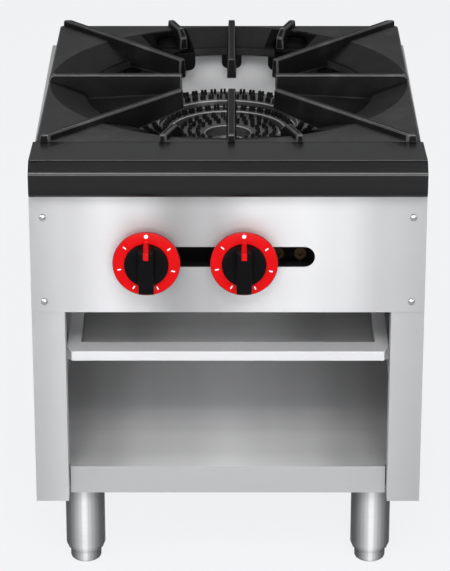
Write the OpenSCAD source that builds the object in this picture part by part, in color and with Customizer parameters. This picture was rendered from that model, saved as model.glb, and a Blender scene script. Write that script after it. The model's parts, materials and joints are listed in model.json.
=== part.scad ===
// Single burner gas stove: a floor-standing stock-pot range on four short legs.
// Lengths are millimetres. +X is the viewer's right, +Y runs from front to back, +Z is up.
// The origin is on the floor, under the middle of the whole stove.

/* [Body] */
// Width across the side panels
body_w = 457; // [440:1:480]
// Depth from the control panel's face to the rear edge of the side panels
body_d = 510; // [500:1:540]
// Thickness of the stainless sheet
sheet_t = 1.2; // [0.9:0.1:1.5]
// Height of the body's underside above the floor
under_z = 105; // [100:1:130]
// Height of the shelf's top face above the body's underside
shelf_rise = 35; // [30:1:45]
// Height of the drip tray's rim above the shelf
tray_rise = 156.5; // [130:0.5:160]
// Height of the control panel's lower edge above the drip tray's rim
panel_rise = 53.5; // [40:0.5:60]
// Height of the control panel
panel_h = 144; // [140:1:160]
// Height of the burner box's top flanges above the control panel
rest_rise = 20; // [16:1:24]
// Width of the front posts
post_w = 38.5; // [34:0.5:42]
// Depth of the return behind each post
post_return = 30; // [20:1:36]
// Gap between each side panel's outer face and its liner's inner face
wall_w = 23; // [20:0.5:28]
// Width of the inward flanges along the top
top_flange_w = 20; // [14:1:21]
// Width of the rear flange of each side panel
rear_flange_w = 18; // [14:1:20]

/* [Front ledge] */
// Height of the front ledge
ledge_h = 46; // [40:1:52]
// Depth of the ledge behind the control panel's face
ledge_d = 56; // [50:1:60]
// Reach of the ledge's nose in front of the control panel
nose_out = 19.5; // [16:0.5:24]
// Radius of the nose's upper bend
nose_top_r = 18; // [12:1:19]
// Radius of the nose's lower bend
nose_low_r = 11; // [8:1:14]
// Thickness of the ledge's sheet
ledge_t = 2; // [1.5:0.1:3]
// Depth of the ledge's lower lip behind the panel's face
ledge_lip = 22; // [16:1:30]

/* [Control panel] */
// Length of the slot in the control panel
slot_w = 201; // [170:1:230]
// Height of the slot
slot_h = 25; // [20:1:30]
// Height of the slot's centre above the panel's lower edge
slot_rise = 69; // [62:1:78]
// Distance of the panel screws from the side edges
screw_in = 15.5; // [12:0.5:18]
// Distance of the lower screws from the panel's lower edge
screw_low = 13.7; // [10:0.1:20]
// Distance between the lower and the upper screws
screw_pitch = 104.3; // [90:0.1:115]
// Diameter of the panel screws' heads
screw_head_d = 9; // [7:0.5:11]
// Depth of the flanges behind the control panel
panel_flange = 20; // [12:1:24]

/* [Knobs] */
// Place of the left knob across the stove
knob_left_x = -93.7; // [-100:0.1:-85]
// Place of the right knob across the stove
knob_right_x = 18.5; // [10:0.1:30]
// Diameter of the dial skirt
dial_d = 78; // [70:1:84]
// Thickness of the dial skirt
dial_t = 5; // [3:0.5:7]
// Distance from the control panel to the dial's face
dial_out = 24; // [18:1:28]
// Diameter of the black knob
knob_d = 51; // [44:1:56]
// Height of the black knob's disc over the dial
knob_step = 5; // [3:0.5:7]
// Height of the grip bar over the dial
grip_h = 21; // [16:1:26]
// Width of the grip bar
grip_w = 19; // [15:1:23]
// Diameter of the valve stem
stem_d = 8; // [6:0.5:10]
// Turn from one mark of the dial to the next, in degrees
mark_step = 51.43; // [40:0.01:60]

/* [Top grate] */
// Gap between the grate's edge and the outer face of the side panel below it
grate_margin = 4.5; // [1:0.5:10]
// Height of the grate's rim over the flanges that it rests on
grate_h = 27; // [24:1:32]
// Height of the ribs over the rim
rib_rise = 8; // [5:1:12]
// Thickness of the ribs
rib_t = 10; // [8:1:13]
// Half of the square on which the long ribs end
rib_square = 58; // [50:1:70]
// Height of a rib's inner end
rib_end_h = 25; // [20:1:30]
// Thickness of the grate's casting
cast_t = 6; // [5:0.5:8]
// Width of the flat rim beside the dish, where it is narrowest
dish_rim = 3; // [2:0.5:16]
// Radius of the grate's opening
hole_r = 178; // [165:1:190]
// Fall of the dish from its outer edge to the opening
dish_fall = 13; // [8:1:16]
// Height of the lip around the opening
lip_h = 12; // [9:1:16]
// Width of the lugs under the ribs
lug_w = 26; // [20:1:32]
// Length of the lugs below the lip
lug_drop = 18; // [12:1:22]
// Turn of the short ribs away from the middle rib, in degrees
short_turn = 19.5; // [17:0.5:24]
// Offset of the front and rear ribs to the right of the plate's middle
rib_shift = 3.5; // [0:0.5:6]
// Distance between the corner ribs' outer ends and the plate's side edges
corner_in = 18; // [8:1:24]
// Radius of the notches beside the short ribs
notch_r = 22; // [18:0.5:24]

/* [Burner] */
// Height of the outer casting's upper tier over the flanges of the burner box
burner_drop = 25; // [20:1:32]
// Outer radius of the upper tier
tier_out_r = 113; // [105:1:120]
// Radius of the step between the two tiers
tier_mid_r = 85; // [80:1:90]
// Inner radius of the lower tier
tier_in_r = 71; // [69:1:74]
// Height of the step between the tiers
tier_step = 9.5; // [7:0.5:11]
// Outer radius of the inner casting
core_out_r = 64; // [58:1:66]
// Radius of the inner casting's hole
core_in_r = 28; // [24:1:32]
// Height of the cast rings below their lower tiers
ring_depth = 14; // [12:1:18]
// Thickness of the port rings that lie on the castings
port_ring_t = 1.5; // [1:0.1:3]
// Number of ports around the upper tier
ports_out = 52; // [40:2:60]
// Number of ports around the lower tier
ports_mid = 42; // [32:2:48]
// Number of ports around the inner casting's outer row
ports_core = 30; // [20:2:34]
// Height of the raised ports
port_h = 5; // [3:0.5:7]
// Width of a burner bar
bar_w = 12; // [8:1:16]
// Height of a burner bar
bar_h = 10; // [8:1:14]

/* [Gas parts] */
// Outside diameter of the gas pipes
pipe_d = 26.7; // [24:0.1:30]
// Wall of the gas pipes
pipe_wall = 2.9; // [2.3:0.1:3.5]
// Depth of the manifold's axis behind the panel's face
manifold_y = 42; // [38:1:48]
// Drop of the manifold's axis below the valve stems
manifold_drop = 33; // [31:1:40]
// Reach of the gas inlet behind the back panel
inlet_out = 24; // [22:1:40]
// Length of the inlet's threaded end
thread_h = 20; // [14:1:21]
// Depth of the thread, on the diameter
thread_cut = 0.4; // [0.2:0.1:1]
// Diameter of the mixer tubes
mixer_d = 34; // [30:1:38]
// Wall of the mixer tubes
mixer_wall = 3; // [2:0.5:4]
// Radius of the bend at the end of a mixer tube
mixer_bend = 24; // [20:1:28]
// Distance of the outer casting's riser in front of the burner's middle
riser_set = 20; // [10:1:30]
// Diameter of the air shutters
shutter_d = 52; // [46:1:56]
// Thickness of the air shutters
shutter_t = 2; // [1.5:0.1:3]
// Turn of the air shutters from open to shut, in degrees
shutter_turn = 40; // [30:1:45]
// Diameter of the pilot tubes
pilot_d = 6; // [4:0.5:7]

/* [Drip tray] */
// Height of the tray's front lip
tray_lip_h = 11.6; // [9:0.1:15]
// Depth of the pan below the tray's rim
pan_h = 20; // [14:1:24]
// Width of the rim at the sides
rim_w = 15.6; // [12:0.2:20]
// Width of the flange at the front
front_rim_w = 29; // [20:1:34]
// Set-back of the tray's lip behind the control panel's face
tray_set = 8; // [4:1:12]
// Shortening of the front lip at each end
lip_short = 5.5; // [3:0.5:8]
// Height of the tray rails
rail_h = 19; // [15:1:24]

/* [Shelf and base] */
// Set-back of the shelf's front flange
shelf_set = 23; // [18:1:28]
// Width of the base channels
channel_w = 66; // [60:1:80]

/* [Legs] */
// Diameter of the leg tubes
leg_d = 47.6; // [42:0.1:54]
// Width of the square leg plates
plate_w = 58; // [56:1:62]
// Thickness of the leg plates
plate_t = 3; // [2:0.5:4]
// Gap between a leg plate and the side liner
leg_side_gap = 2.8; // [1:0.1:6]
// Gap between a front leg plate and the liner's front flange
leg_front_gap = 0.6; // [0.5:0.1:20]
// Gap between a rear leg plate and the back panel
leg_rear_gap = 21; // [10:1:40]
// Wall of the leg tubes
leg_wall = 1.5; // [1.2:0.1:2.5]
// Diameter of the feet
foot_d = 37.4; // [32:0.1:40]
// Height at which the leg tubes end above the floor
leg_mouth_z = 15; // [12:1:20]
// Height of the tube's shoulder
shoulder_h = 7; // [5:1:10]
// Travel of the levelling feet
foot_travel = 25; // [15:1:30]

/* [Hidden] */

// Number of sides of round parts
$fn = 64;
// A shorter step than any size, which keeps cuts clear of the faces they pass
eps = 0.5;
// Gap between curved faces that touch on the real stove
seat_gap = 0.3;
// Running clearance around stems and screws, on the radius
run_gap = 0.06;
// Clearance between sheets that slide
slide_gap = 0.4;

// Levels
shelf_z = under_z + shelf_rise;
tray_z = shelf_z + tray_rise;
panel_z = tray_z + panel_rise;
ledge_z = panel_z + panel_h;
rest_z = ledge_z + rest_rise;
rim_z = rest_z + grate_h;
rib_z = rim_z + rib_rise;
slot_z = panel_z + slot_rise;

// Distances from the middle, across
half_w = body_w / 2;
post_x = half_w - post_w;
liner_x = half_w - wall_w;
screw_x = half_w - screw_in;

// Depths behind the control panel's face
post_y = sheet_t;
liner_y = post_y + post_return;
back_y = body_d;
inlet_y = back_y + sheet_t + inlet_out;
grate_y0 = ledge_d + slide_gap;
grate_y1 = back_y;
grate_w = body_w - 2 * grate_margin;
grate_d = grate_y1 - grate_y0;
burner_y = (grate_y0 + grate_y1) / 2;
rest_rail_y = ledge_d + sheet_t;
rest_rail_w = 16;
shield_y = 98;
rear_liner_gap = 15;
rear_liner_y = back_y - rear_liner_gap;

// The whole stove runs from the grip bars to the gas inlet
grip_out = dial_out + grip_h;
mid_y = (inlet_y - grip_out) / 2;

// Puts a part that is measured from the control panel's face in the stove's own frame
module placed() {
    translate([0, -mid_y, 0]) children();
}

// A box between two corners
module block(p, q) {
    translate(p) cube(q - p);
}

// A cylinder whose axis runs from front to back, from y0 to y1
module rod_y(x, y0, y1, z, d, sides = $fn) {
    translate([x, y0, z]) rotate([-90, 0, 0]) cylinder(d = d, h = y1 - y0, $fn = sides);
}

// A cylinder whose axis runs across the stove, from x0 to x1
module rod_x(x0, x1, y, z, d) {
    translate([x0, y, z]) rotate([0, 90, 0]) cylinder(d = d, h = x1 - x0);
}

// An upright cylinder from z0 to z1
module rod_z(x, y, z0, z1, d, sides = $fn) {
    translate([x, y, z0]) cylinder(d = d, h = z1 - z0, $fn = sides);
}

// A plate in the X-Z plane with a slot that has round ends
module slot_cut(w, h, depth) {
    rotate([90, 0, 0]) linear_extrude(depth, center = true) union() {
        square([w - h, h], center = true);
        for (side = [-1, 1]) translate([side * (w - h) / 2, 0]) circle(d = h);
    }
}

// A pan-head screw along +Y, with its head in front of the origin
screw_shank_d = 4;
screw_len = 9;
screw_hole_d = screw_shank_d + 0.4;
dome_share = 0.36;
small_head_d = 8;
module screw_y(head_d, len = screw_len) {
    dome = head_d * dome_share;
    dome_r = (dome * dome + head_d * head_d / 4) / (2 * dome);
    rotate([90, 0, 0]) intersection() {
        translate([0, 0, dome - dome_r]) sphere(r = dome_r);
        cylinder(d = head_d + eps, h = dome_r * 2);
    }
    rod_y(0, -eps, len, 0, screw_shank_d);
}

// Grate

rib_in_z = rib_z - rib_end_h;
plate_low = rim_z - cast_t;
dish_r = min(grate_w, grate_d) / 2 - dish_rim;
dish_low_r = dish_r + dish_rim - cast_t - seat_gap;
dish_z = rim_z - dish_fall;
lip_z = dish_z - lip_h;
rib_round = 2.5;
rib_tip = 6;
rib_edge_in = 4;
short_in = 9;
short_in_r = hole_r + short_in;
notch_out = 15;
notch_turn = short_turn + 4;
notch_wall = 6;
notch_edge = 27;
dish_slope = dish_fall / (dish_r - hole_r);
short_aside = rib_shift * sin(short_turn) + seat_gap;
short_open = hole_r + notch_edge - short_aside;
short_dish = dish_r - short_aside;
rib_hole = hole_r - seat_gap;
rib_dish = dish_r - seat_gap;
rib_lift = seat_gap;
short_half = grate_d / 2 / cos(short_turn) - rib_edge_in;
corner_dx = grate_w / 2 - corner_in - rib_square;
corner_dy = grate_d / 2 - rib_edge_in - rib_square;
corner_len = sqrt(corner_dx * corner_dx + corner_dy * corner_dy);
corner_turn = atan2(corner_dx, corner_dy);
corner_hole = rib_hole - rib_square * sqrt(2);
corner_dish = rib_dish - rib_square * sqrt(2);
corner_lug_turn = atan2(rib_square + corner_hole * sin(corner_turn),
    rib_square + corner_hole * cos(corner_turn));

// Side view of a rib that starts at s0 and ends at s1 from the centre: it lies on the rim
// outside s_dish, follows the dish down to s_open and hangs down to low inside the opening
module rib_side(s0, s1, s_open, s_dish, z_open, low) {
    polygon([[s0, rib_in_z], [s0, rib_z - rib_round], [s0 + rib_round, rib_z],
        [s1 - rib_tip, rib_z], [s1, rib_z - rib_tip], [s1, rim_z], [s_dish, rim_z],
        [s_open, z_open + rib_lift], [s_open, low]]);
}

// A rib along +Y with rounded upper edges
module rib(s0, s1, s_open, s_dish, z_open = dish_z, low = lip_z) {
    intersection() {
        rotate([90, 0, 90]) linear_extrude(rib_t, center = true)
            rib_side(s0, s1, s_open, s_dish, z_open, low);
        rotate([90, 0, 0]) translate([0, 0, -s1]) linear_extrude(s1) union() {
            translate([-rib_t / 2, 0]) square([rib_t, rib_z - rib_round]);
            translate([-rib_t / 2 + rib_round, 0]) square([rib_t - 2 * rib_round, rib_z]);
            for (side = [-1, 1])
                translate([side * (rib_t / 2 - rib_round), rib_z - rib_round])
                    circle(r = rib_round, $fn = 24);
        }
    }
}

// A lug below the opening's lip, across +Y at the distance s
module lug(s) {
    lug_r = 8;
    low = lip_z - lug_drop;
    translate([0, s + cast_t / 2, 0]) rotate([90, 0, 0]) linear_extrude(cast_t) union() {
        translate([-lug_w / 2, low + lug_r]) square([lug_w, lip_z - low - lug_r]);
        translate([-lug_w / 2 + lug_r, low]) square([lug_w - 2 * lug_r, lug_r + eps]);
        for (side = [-1, 1]) translate([side * (lug_w / 2 - lug_r), low + lug_r]) circle(r = lug_r);
    }
}

// Places its children at the grate's centre, in the grate's colour
module grate_part() {
    color("#2a2a2c") placed() translate([0, burner_y, 0]) children();
}

// Repeats its children, which point along +Y, at the turn to both sides of each end's middle
module each_end(turn) {
    translate([rib_shift, 0, 0]) for (end = [0, 180]) for (side = [-1, 1])
        rotate([0, 0, end + side * turn]) children();
}

// Repeats its children, which point along +Y, at the turn beside each end's middle
module each_corner(turn) {
    for (end = [0, 180]) for (side = [-1, 1]) rotate([0, 0, end + side * turn]) children();
}

// Plate with its dish, the lip around the opening and a notch beside each short rib
module top_grate() {
    grate_part() difference() {
        union() {
            difference() {
                block([-grate_w / 2, -grate_d / 2, plate_low], [grate_w / 2, grate_d / 2, rim_z]);
                rod_z(0, 0, plate_low - eps, rim_z + eps, 2 * dish_r - 1, 128);
            }
            rotate_extrude($fn = 128) polygon([[dish_r, rim_z], [hole_r, dish_z],
                [hole_r, lip_z], [hole_r + cast_t, lip_z],
                [hole_r + cast_t, dish_z - cast_t / 2], [dish_low_r, plate_low],
                [dish_r, plate_low]]);
        }
        each_end(notch_turn) rod_z(0, hole_r + notch_out, lip_z + notch_wall, rim_z + eps,
            2 * notch_r);
    }
}

// Wall below the plate's edge, which stands on the flanges of the burner box
module grate_skirt() {
    grate_part() difference() {
        block([-grate_w / 2, -grate_d / 2, rest_z], [grate_w / 2, grate_d / 2, plate_low]);
        block([-grate_w / 2 + cast_t, -grate_d / 2 + cast_t, rest_z - eps],
            [grate_w / 2 - cast_t, grate_d / 2 - cast_t, plate_low + eps]);
    }
}

module grate_ribs() {
    grate_part() {
        for (turn = [0, 180]) {
            translate([rib_shift, 0, 0]) rotate([0, 0, turn])
                rib(rib_square, grate_d / 2, rib_hole, rib_dish);
            rotate([0, 0, turn + 90]) rib(rib_square, grate_w / 2, rib_hole, rib_dish);
        }
        each_end(short_turn) rib(short_in_r, short_half, short_open, short_dish,
            dish_z + notch_edge * dish_slope, rib_in_z);
        for (sx = [0, 1]) for (sy = [0, 1]) mirror([sx, 0, 0]) mirror([0, sy, 0])
            translate([rib_square, rib_square, 0]) rotate([0, 0, -corner_turn])
                rib(0, corner_len, corner_hole, corner_dish);
    }
}

module grate_lugs() {
    lug_s = hole_r + cast_t / 2;
    grate_part() {
        for (turn = [90, 270]) rotate([0, 0, turn]) lug(lug_s);
        for (turn = [0, 180]) translate([rib_shift, 0, 0]) rotate([0, 0, turn]) lug(lug_s);
        each_corner(corner_lug_turn) lug(lug_s);
        each_end(short_turn) lug(lug_s);
    }
}

// Front ledge

ledge_top = ledge_z + ledge_h;
module ledge_outline(inset) {
    top = ledge_top - inset;
    low = ledge_z + inset;
    front = -nose_out + inset;
    top_r = nose_top_r - inset;
    low_r = nose_low_r - inset;
    union() {
        translate([front + top_r, low]) square([ledge_d - inset - front - top_r, top - low]);
        translate([front, low + low_r]) square([top_r + eps, top - top_r - low - low_r]);
        translate([front + low_r, low]) square([top_r - low_r + eps, low_r + eps]);
        translate([front + top_r, top - top_r]) circle(r = top_r, $fn = 96);
        translate([front + low_r, low + low_r]) circle(r = low_r, $fn = 64);
    }
}

module front_ledge() {
    color("#1b1b1d") placed() difference() {
        translate([-half_w, 0, 0]) rotate([90, 0, 90]) linear_extrude(body_w) ledge_outline(0);
        translate([-half_w + ledge_t, 0, 0]) rotate([90, 0, 90])
            linear_extrude(body_w - 2 * ledge_t) ledge_outline(ledge_t);
        block([-half_w + ledge_t, ledge_lip, ledge_z - eps],
            [half_w - ledge_t, ledge_d - ledge_t, ledge_z + ledge_t + eps]);
    }
}

// Sheet body

module control_panel() {
    flange_x = post_x - sheet_t;
    color("#c9c9cb") placed() difference() {
        union() {
            block([-half_w, 0, panel_z], [half_w, sheet_t, ledge_z]);
            block([-flange_x, 0, panel_z], [flange_x, panel_flange, panel_z + sheet_t]);
            block([-flange_x, 0, ledge_z - sheet_t], [flange_x, panel_flange, ledge_z]);
        }
        translate([0, sheet_t / 2, slot_z]) slot_cut(slot_w, slot_h, 2 * sheet_t);
        for (side = [-1, 1]) for (up = [0, 1])
            rod_y(side * screw_x, -eps, sheet_t + eps, panel_z + screw_low + up * screw_pitch,
                screw_hole_d, 24);
    }
}

// The right-hand side panel: its sheet, front post, top flange, rear and bottom flanges
module side_panel() {
    foot_flange_w = wall_w - sheet_t;
    difference() {
        union() {
            block([half_w - sheet_t, post_y, under_z], [half_w, back_y, ledge_z]);
            block([half_w - sheet_t, rest_rail_y, ledge_z - eps], [half_w, back_y, rest_z]);
            block([post_x, post_y, under_z], [half_w, post_y + sheet_t, ledge_z]);
            block([post_x, post_y, under_z], [post_x + sheet_t, liner_y, panel_z - sheet_t]);
            block([half_w - top_flange_w, rest_rail_y, rest_z - sheet_t],
                [half_w, back_y, rest_z]);
            block([half_w - rear_flange_w, back_y - sheet_t, under_z], [half_w, back_y, rest_z]);
            block([half_w - foot_flange_w, liner_y + sheet_t, under_z],
                [half_w, back_y, under_z + sheet_t]);
        }
        for (up = [0, 1])
            rod_y(screw_x, -eps, 4 * sheet_t, panel_z + screw_low + up * screw_pitch,
                screw_hole_d, 24);
        for (z = back_screw_z)
            rod_y(back_screw_x, back_y - 4 * sheet_t, back_y + eps, z, screw_hole_d, 24);
    }
}

module side_panel_left() {
    color("#c6c6c8") placed() mirror([1, 0, 0]) side_panel();
}

module side_panel_right() {
    color("#c6c6c8") placed() side_panel();
}

// The right-hand liner, with a front flange that meets the post's return
module side_liner() {
    difference() {
        union() {
            block([liner_x, liner_y, under_z], [liner_x + sheet_t, back_y, ledge_z]);
            block([liner_x, rest_rail_y, ledge_z - eps],
                [liner_x + sheet_t, back_y, rest_z - sheet_t]);
            block([post_x, liner_y, under_z],
                [liner_x + sheet_t, liner_y + sheet_t, panel_z - sheet_t]);
        }
        for (y = rail_screw_y)
            rod_x(liner_x - eps, liner_x + 2 * sheet_t, y, rail_screw_z, screw_hole_d);
    }
}

module side_liner_left() {
    color("#8f8f92") placed() mirror([1, 0, 0]) side_liner();
}

module side_liner_right() {
    color("#8f8f92") placed() side_liner();
}

back_screw_in = 9;
back_screw_up = 40;
back_screw_x = half_w - back_screw_in;
back_screw_z = [under_z + back_screw_up, (under_z + rest_z) / 2, rest_z - back_screw_up];
supply_in = 22;
supply_x = liner_x - supply_in;
manifold_z = slot_z - manifold_drop;
pass_gap = 2;
pipe_hole_d = pipe_d + 2 * pass_gap;

module back_panel() {
    color("#b9b9bb") placed() difference() {
        union() {
            block([-half_w, back_y, under_z], [half_w, back_y + sheet_t, rest_z]);
            block([-half_w + top_flange_w, rear_liner_y - sheet_t, rest_z - sheet_t],
                [half_w - top_flange_w, back_y + eps, rest_z]);
        }
        for (side = [-1, 1]) for (z = back_screw_z)
            rod_y(side * back_screw_x, back_y - eps, back_y + 2 * sheet_t, z, screw_hole_d, 24);
        rod_y(supply_x, back_y - eps, back_y + 2 * sheet_t, manifold_z, pipe_hole_d);
    }
}

module rear_liner() {
    low = tray_z + slide_gap;
    color("#a4a4a7") placed() difference() {
        union() {
            block([-liner_x, rear_liner_y - sheet_t, low],
                [liner_x, rear_liner_y, rest_z - sheet_t]);
            block([-liner_x, rear_liner_y - sheet_t, low], [liner_x, back_y, low + sheet_t]);
        }
        rod_y(supply_x, rear_liner_y - 2 * sheet_t, rear_liner_y + eps, manifold_z, pipe_hole_d);
    }
}

shield_low = panel_z + sheet_t;
shield_drop = 12;
shield_high = rest_z - shield_drop;
mixer_hole_d = mixer_d + 2 * pass_gap;
pilot_hole_d = pilot_d + 2 * pass_gap;
module front_heat_shield() {
    foot = 14;
    color("#77777a") placed() difference() {
        union() {
            block([-liner_x, shield_y, shield_low], [liner_x, shield_y + sheet_t, shield_high]);
            block([-liner_x, shield_y - foot, shield_low],
                [liner_x, shield_y + sheet_t, shield_low + sheet_t]);
        }
        for (x = [knob_left_x, knob_right_x])
            rod_y(x, shield_y - eps, shield_y + 2 * sheet_t, slot_z, mixer_hole_d);
        rod_y(supply_x, shield_y - eps, shield_y + 2 * sheet_t, manifold_z, pipe_hole_d);
        for (x = pilot_x)
            rod_y(x, shield_y - eps, shield_y + 2 * sheet_t, pilot_z, pilot_hole_d, 24);
    }
}

// Angle under the grate's front edge
module grate_rest_rail() {
    color("#9a9a9d") placed() {
        block([-liner_x, rest_rail_y, ledge_z], [liner_x, rest_rail_y + sheet_t, rest_z]);
        block([-liner_x, rest_rail_y, rest_z - sheet_t],
            [liner_x, rest_rail_y + rest_rail_w, rest_z]);
    }
}

shelf_side_gap = 1.4;
module bottom_shelf() {
    front_x = post_x - shelf_side_gap;
    hem = 2 * sheet_t;
    color("#bdbdbf") placed() {
        block([-front_x, shelf_set, shelf_z - sheet_t],
            [front_x, liner_y + sheet_t, shelf_z]);
        block([-liner_x, liner_y + sheet_t, shelf_z - sheet_t],
            [liner_x, back_y, shelf_z]);
        block([-front_x, shelf_set, under_z + slide_gap],
            [front_x, shelf_set + sheet_t, shelf_z]);
        block([-front_x, shelf_set, shelf_z - hem - sheet_t], [front_x, shelf_set + hem, shelf_z]);
        block([-liner_x, back_y - sheet_t, under_z], [liner_x, back_y, shelf_z]);
    }
}

// Leg plates sit under the web of the base channels
screw_head_t = 1.8;
plate_z = under_z + screw_head_t + 0.2;
web_z = plate_z + plate_t;
channel_y0 = shelf_set + 4;
channel_y1 = back_y - sheet_t;
leg_x = liner_x - leg_side_gap - plate_w / 2;
leg_ys = [liner_y + sheet_t + leg_front_gap + plate_w / 2, back_y - leg_rear_gap - plate_w / 2];
leg_bolt_d = 5;
leg_bolt = plate_w / 2 - leg_bolt_d - 2;
leg_hole_d = leg_bolt_d + 0.4;

module base_channel() {
    inner = liner_x - channel_w;
    difference() {
        union() {
            block([inner, liner_y + 2 * sheet_t, web_z], [liner_x, channel_y1, web_z + sheet_t]);
            block([inner, channel_y0, web_z], [post_x - shelf_side_gap, liner_y + 2 * sheet_t + eps,
                web_z + sheet_t]);
            block([inner, channel_y0, web_z], [inner + sheet_t, channel_y1, shelf_z - sheet_t]);
            block([liner_x - sheet_t, liner_y + 2 * sheet_t, web_z],
                [liner_x, channel_y1, shelf_z - sheet_t]);
        }
        for (y = leg_ys) for (sx = [-1, 1]) for (sy = [-1, 1])
            rod_z(leg_x + sx * leg_bolt, y + sy * leg_bolt, web_z - eps, web_z + 2 * sheet_t,
                leg_hole_d, 24);
    }
}

module base_channel_left() {
    color("#9b9b9e") placed() mirror([1, 0, 0]) base_channel();
}

module base_channel_right() {
    color("#9b9b9e") placed() base_channel();
}

// Drip tray and its rails

tray_side_gap = 0.8;
tray_rear_gap = 20;
tray_x = post_x - tray_side_gap;
tray_y0 = tray_set;
tray_y1 = rear_liner_y - sheet_t - tray_rear_gap;
rim_t = sheet_t;
rim_low = tray_z - rim_t;
pan_x = tray_x - rim_w;
pan_y0 = tray_y0 + front_rim_w;
pan_y1 = tray_y1 - rim_w;
rail_z = rim_low - slide_gap;
rail_pan_gap = 5;
rail_x0 = pan_x + rail_pan_gap;
rail_y0 = liner_y + sheet_t;
rail_y1 = rear_liner_y - sheet_t;
rail_screw_in = 60;
rail_screw_y = [rail_y0 + rail_screw_in, rail_y1 - rail_screw_in];
rail_screw_z = rail_z - rail_h / 2;

// Pan of the tray, below its rim
module drip_tray() {
    color("#b5b5b8") placed() difference() {
        block([-pan_x - rim_t, pan_y0 - rim_t, tray_z - pan_h],
            [pan_x + rim_t, pan_y1 + rim_t, rim_low]);
        block([-pan_x, pan_y0, tray_z - pan_h + rim_t], [pan_x, pan_y1, tray_z]);
    }
}

// Rim around the pan, with the lip at its front
module tray_rim() {
    lip_x = tray_x - lip_short;
    corner = front_rim_w * 0.6;
    lip_return = 12;
    color("#b5b5b8") placed() {
        difference() {
            translate([0, 0, rim_low]) linear_extrude(rim_t) polygon([
                [-lip_x, tray_y0], [lip_x, tray_y0], [tray_x, tray_y0 + corner], [tray_x, tray_y1],
                [-tray_x, tray_y1], [-tray_x, tray_y0 + corner]]);
            block([-pan_x, pan_y0, rim_low - eps], [pan_x, pan_y1, tray_z + eps]);
        }
        block([-lip_x, tray_y0, tray_z - tray_lip_h], [lip_x, tray_y0 + rim_t, tray_z]);
        for (side = [0, 1]) mirror([side, 0, 0])
            block([lip_x - rim_t, tray_y0, tray_z - tray_lip_h], [lip_x, tray_y0 + lip_return, tray_z]);
    }
}

module tray_rail() {
    difference() {
        union() {
            block([rail_x0, rail_y0, rail_z - sheet_t], [liner_x, rail_y1, rail_z]);
            block([liner_x - sheet_t, rail_y0, rail_z - rail_h], [liner_x, rail_y1, rail_z]);
            block([rail_x0, rail_y0, rail_z - rail_h / 2], [rail_x0 + sheet_t, rail_y1, rail_z]);
            block([rail_x0, rail_y0, rail_z - rail_h], [liner_x, rail_y0 + sheet_t, rail_z]);
        }
        for (y = rail_screw_y)
            rod_x(liner_x - 2 * sheet_t, liner_x + eps, y, rail_screw_z, screw_hole_d);
    }
}

module tray_rail_left() {
    color("#9d9da0") placed() mirror([1, 0, 0]) tray_rail();
}

module tray_rail_right() {
    color("#9d9da0") placed() tray_rail();
}

// Burner

tier_tilt = 3;
core_drop = 4;
tier_top = rest_z - burner_drop;
tier_low = tier_top - tier_step - tier_tilt;
core_top = tier_low - core_drop;
ring_z = tier_low - ring_depth;
core_z = core_top - ring_depth;
low_rise = 1;
core_rise = 1.5;
ring_seat = port_ring_t + seat_gap;
ring_bevel = 4;
arm_turns = [90, 210, 330];
arm_w = 12;
arm_h = 9;

// A row of raised ports: two prongs beside a slit, count times around
module ports(count, r, z, wide, long, phase = 0) {
    slit = wide * 0.26;
    for (i = [0 : count - 1]) rotate([0, 0, (i + phase) * 360 / count])
        for (side = [-1, 1]) translate([r, side * (wide + slit) / 4, z - port_root])
            translate([-long / 2, -(wide - slit) / 4, 0])
                cube([long, (wide - slit) / 2, port_h + port_root]);
}

// Places its children at the burner's centre, in the iron's colour
module burner_part() {
    color("#333335") placed() translate([0, burner_y, 0]) children();
}

// A flat ring from the radius r0 to r1, whose top rises from z0 to z1
module port_ring(r0, r1, z0, z1) {
    rotate_extrude($fn = 128) polygon([[r0, z0 - port_ring_t], [r1, z1 - port_ring_t], [r1, z1],
        [r0, z0]]);
}

port_root = 1;
upper_out = 7;
upper_in = 8;
upper_w = 6.8;
upper_in_w = 6.2;
upper_len = 4.5;
lower_w = 6;
lower_len = 5.5;
core_w = 5.4;
core_len = 4.2;
core_row = 10;
core_row_in = 6;

module burner_outer() {
    burner_part() rotate_extrude($fn = 128) polygon([[tier_in_r, ring_z],
        [tier_out_r - ring_bevel, ring_z], [tier_out_r, ring_z + ring_bevel],
        [tier_out_r, tier_top - ring_seat], [tier_mid_r, tier_top - tier_tilt - ring_seat],
        [tier_mid_r, tier_low + low_rise - ring_seat], [tier_in_r, tier_low - ring_seat]]);
}

module port_ring_upper() {
    slope = tier_tilt / (tier_out_r - tier_mid_r);
    burner_part() {
        port_ring(tier_mid_r, tier_out_r, tier_top - tier_tilt, tier_top);
        ports(ports_out, tier_out_r - upper_out, tier_top - upper_out * slope, upper_w, upper_len);
        ports(ports_out, tier_mid_r + upper_in, tier_top - tier_tilt + upper_in * slope,
            upper_in_w, upper_len, 0.5);
    }
}

module port_ring_lower() {
    burner_part() {
        port_ring(tier_in_r, tier_mid_r - seat_gap, tier_low, tier_low + low_rise);
        ports(ports_mid, (tier_mid_r + tier_in_r) / 2, tier_low + low_rise / 2, lower_w, lower_len);
    }
}

module burner_inner() {
    burner_part() {
        rotate_extrude($fn = 128) polygon([[core_in_r, core_z], [core_out_r - ring_bevel, core_z],
            [core_out_r, core_z + ring_bevel], [core_out_r, core_top + core_rise - ring_seat],
            [core_in_r, core_top - ring_seat]]);
        for (turn = arm_turns) rotate([0, 0, turn])
            block([core_out_r - ring_bevel, -arm_w / 2, core_z + ring_bevel],
                [tier_in_r - seat_gap, arm_w / 2, core_z + ring_bevel + arm_h]);
    }
}

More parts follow.
